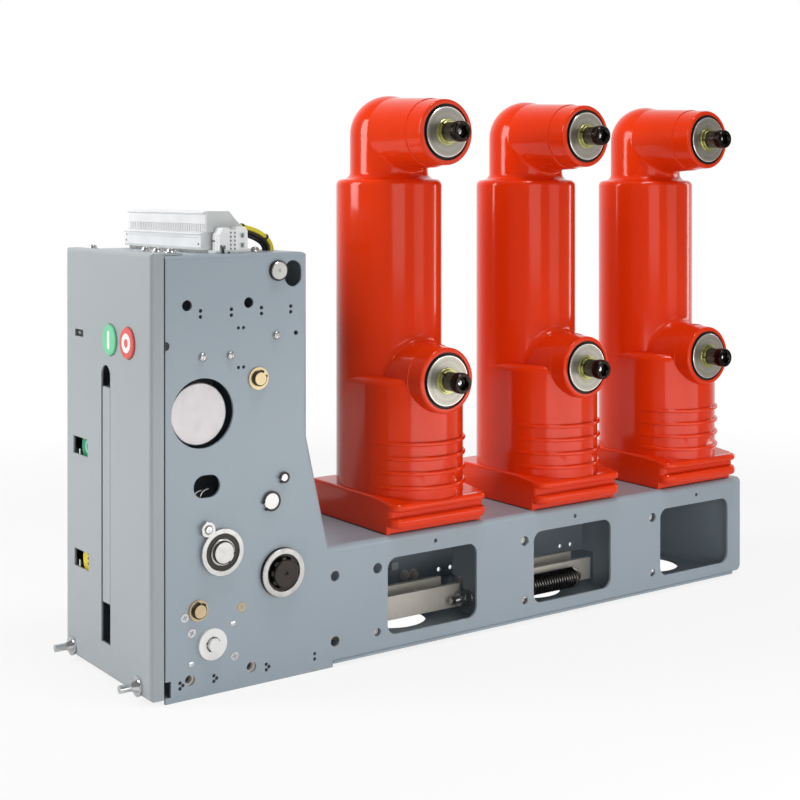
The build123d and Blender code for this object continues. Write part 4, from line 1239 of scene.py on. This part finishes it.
def makeFloor(s):
    bm = bmesh.new()
    x, y = s["centre"]
    half = s["half"]
    corners = [(-half, -half), (half, -half), (half, half), (-half, half)]
    bm.faces.new([bm.verts.new((x + a, y + b, 0)) for a, b in corners])
    mesh = bpy.data.meshes.new("floor")
    bm.to_mesh(mesh)
    bm.free()
    floor = bpy.data.objects.new("floor", mesh)
    bpy.context.scene.collection.objects.link(floor)
    paint = Paint("floorPaper", (s["shade"],) * 3, Roughness=0.8)
    paint.set("Specular IOR Level", 0.1)
    px, py = paint.axes()[:2]
    away = ((px - x) * (px - x) + (py - y) * (py - y)).root().within(s["clear"], s["gone"])
    # under the base the camera sees white: painted light in place of the base's shadow
    left, right, near, rear = s["bay"]
    paintedLightUnderBase = (px > left) * (px < right) * (py > near) * (py < rear)
    lit = paint.node("ShaderNodeMath", {"operation": "MAXIMUM"}, {0: away, 1: paintedLightUnderBase})
    path = paint.node("ShaderNodeLightPath", {}, {}, "Is Camera Ray")
    glossy = Value(paint, path.socket.node.outputs["Is Glossy Ray"])
    through = Value(paint, path.socket.node.outputs["Is Transmission Ray"])
    alongX, alongY, first, last = s["behind"]
    behind = ((px - x) * alongX + (py - y) * alongY).within(first, last)
    seen = path.sum("MAXIMUM", path.sum("MAXIMUM", path, glossy * behind), through)
    share = lit * (1 - s["white"]) + s["white"]
    white = paint.node("ShaderNodeEmission", {}, {"Color": (1, 1, 1, 1), "Strength": 1.0})
    mixed = paint.node("ShaderNodeMixShader", {}, {0: share * seen, 2: white})
    paint.tree.links.new(paint.shader.outputs[0], mixed.socket.node.inputs[1])
    output = paint.tree.nodes["Material Output"]
    paint.tree.links.new(mixed.socket, output.inputs["Surface"])
    mesh.materials.append(paint.material)
    floor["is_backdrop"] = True


def makeWorld(s):
    # one level of light on the object; the camera sees white, and gloss sees a paler side behind
    world = bpy.data.worlds.new("studio")
    world.use_nodes = True
    bpy.context.scene.world = world
    tree = world.node_tree
    ground = tree.nodes["Background"]

    def node(kind, settings, *links):
        made = tree.nodes.new(kind)
        for name, value in settings.items():
            setattr(made, name, value)
        for place, source in enumerate(links):
            if isinstance(source, (int, float, tuple)):
                made.inputs[place].default_value = source
            else:
                tree.links.new(source, made.inputs[place])
        return made

    path = node("ShaderNodeLightPath", {})
    look = node("ShaderNodeTexCoord", {}).outputs["Generated"]
    along = node("ShaderNodeVectorMath", {"operation": "DOT_PRODUCT"}, look, s["behind"])
    gloss = node("ShaderNodeMapRange", {"interpolation_type": "SMOOTHSTEP"},
                 along.outputs["Value"], *s["turn"], *s["glow"])
    rays = node("ShaderNodeMath", {"operation": "MAXIMUM"},
                path.outputs["Is Glossy Ray"], path.outputs["Is Transmission Ray"])
    level = node("ShaderNodeMix", {"data_type": "FLOAT"}, rays.outputs[0])
    level.inputs[2].default_value = s["level"]
    tree.links.new(gloss.outputs[0], level.inputs[3])
    shown = node("ShaderNodeMath", {"operation": "MAXIMUM"},
                 path.outputs["Is Camera Ray"], level.outputs[0])
    tree.links.new(shown.outputs[0], ground.inputs["Strength"])
    ground.inputs["Color"].default_value = (1, 1, 1, 1)


def makeLamps(lamps):
    for name, (place, target, width, height, power) in lamps.items():
        lamp = bpy.data.lights.new(name, "AREA")
        lamp.shape = "RECTANGLE"
        lamp.size, lamp.size_y, lamp.energy = width, height, power
        holder = bpy.data.objects.new(name, lamp)
        holder.visible_camera = False
        bpy.context.scene.collection.objects.link(holder)
        holder.matrix_world = lookFrom(place, target)


def makeCamera(s):
    lens = bpy.data.cameras.new("camera")
    lens.lens, lens.sensor_width, lens.shift_y = s["lens"], s["sensor"], s["rise"]
    camera = bpy.data.objects.new("camera", lens)
    bpy.context.scene.collection.objects.link(camera)
    camera.location = s["place"]
    camera.rotation_euler = [radians(angle) for angle in s["turn"]]
    bpy.context.scene.camera = camera


makeFloor(floorSet)
makeWorld(worldSet)
makeLamps(lampSet)
makeCamera(cameraSet)
bpy.context.scene.view_settings.view_transform = "Standard"
print("floor, light and camera made")

low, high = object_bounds()
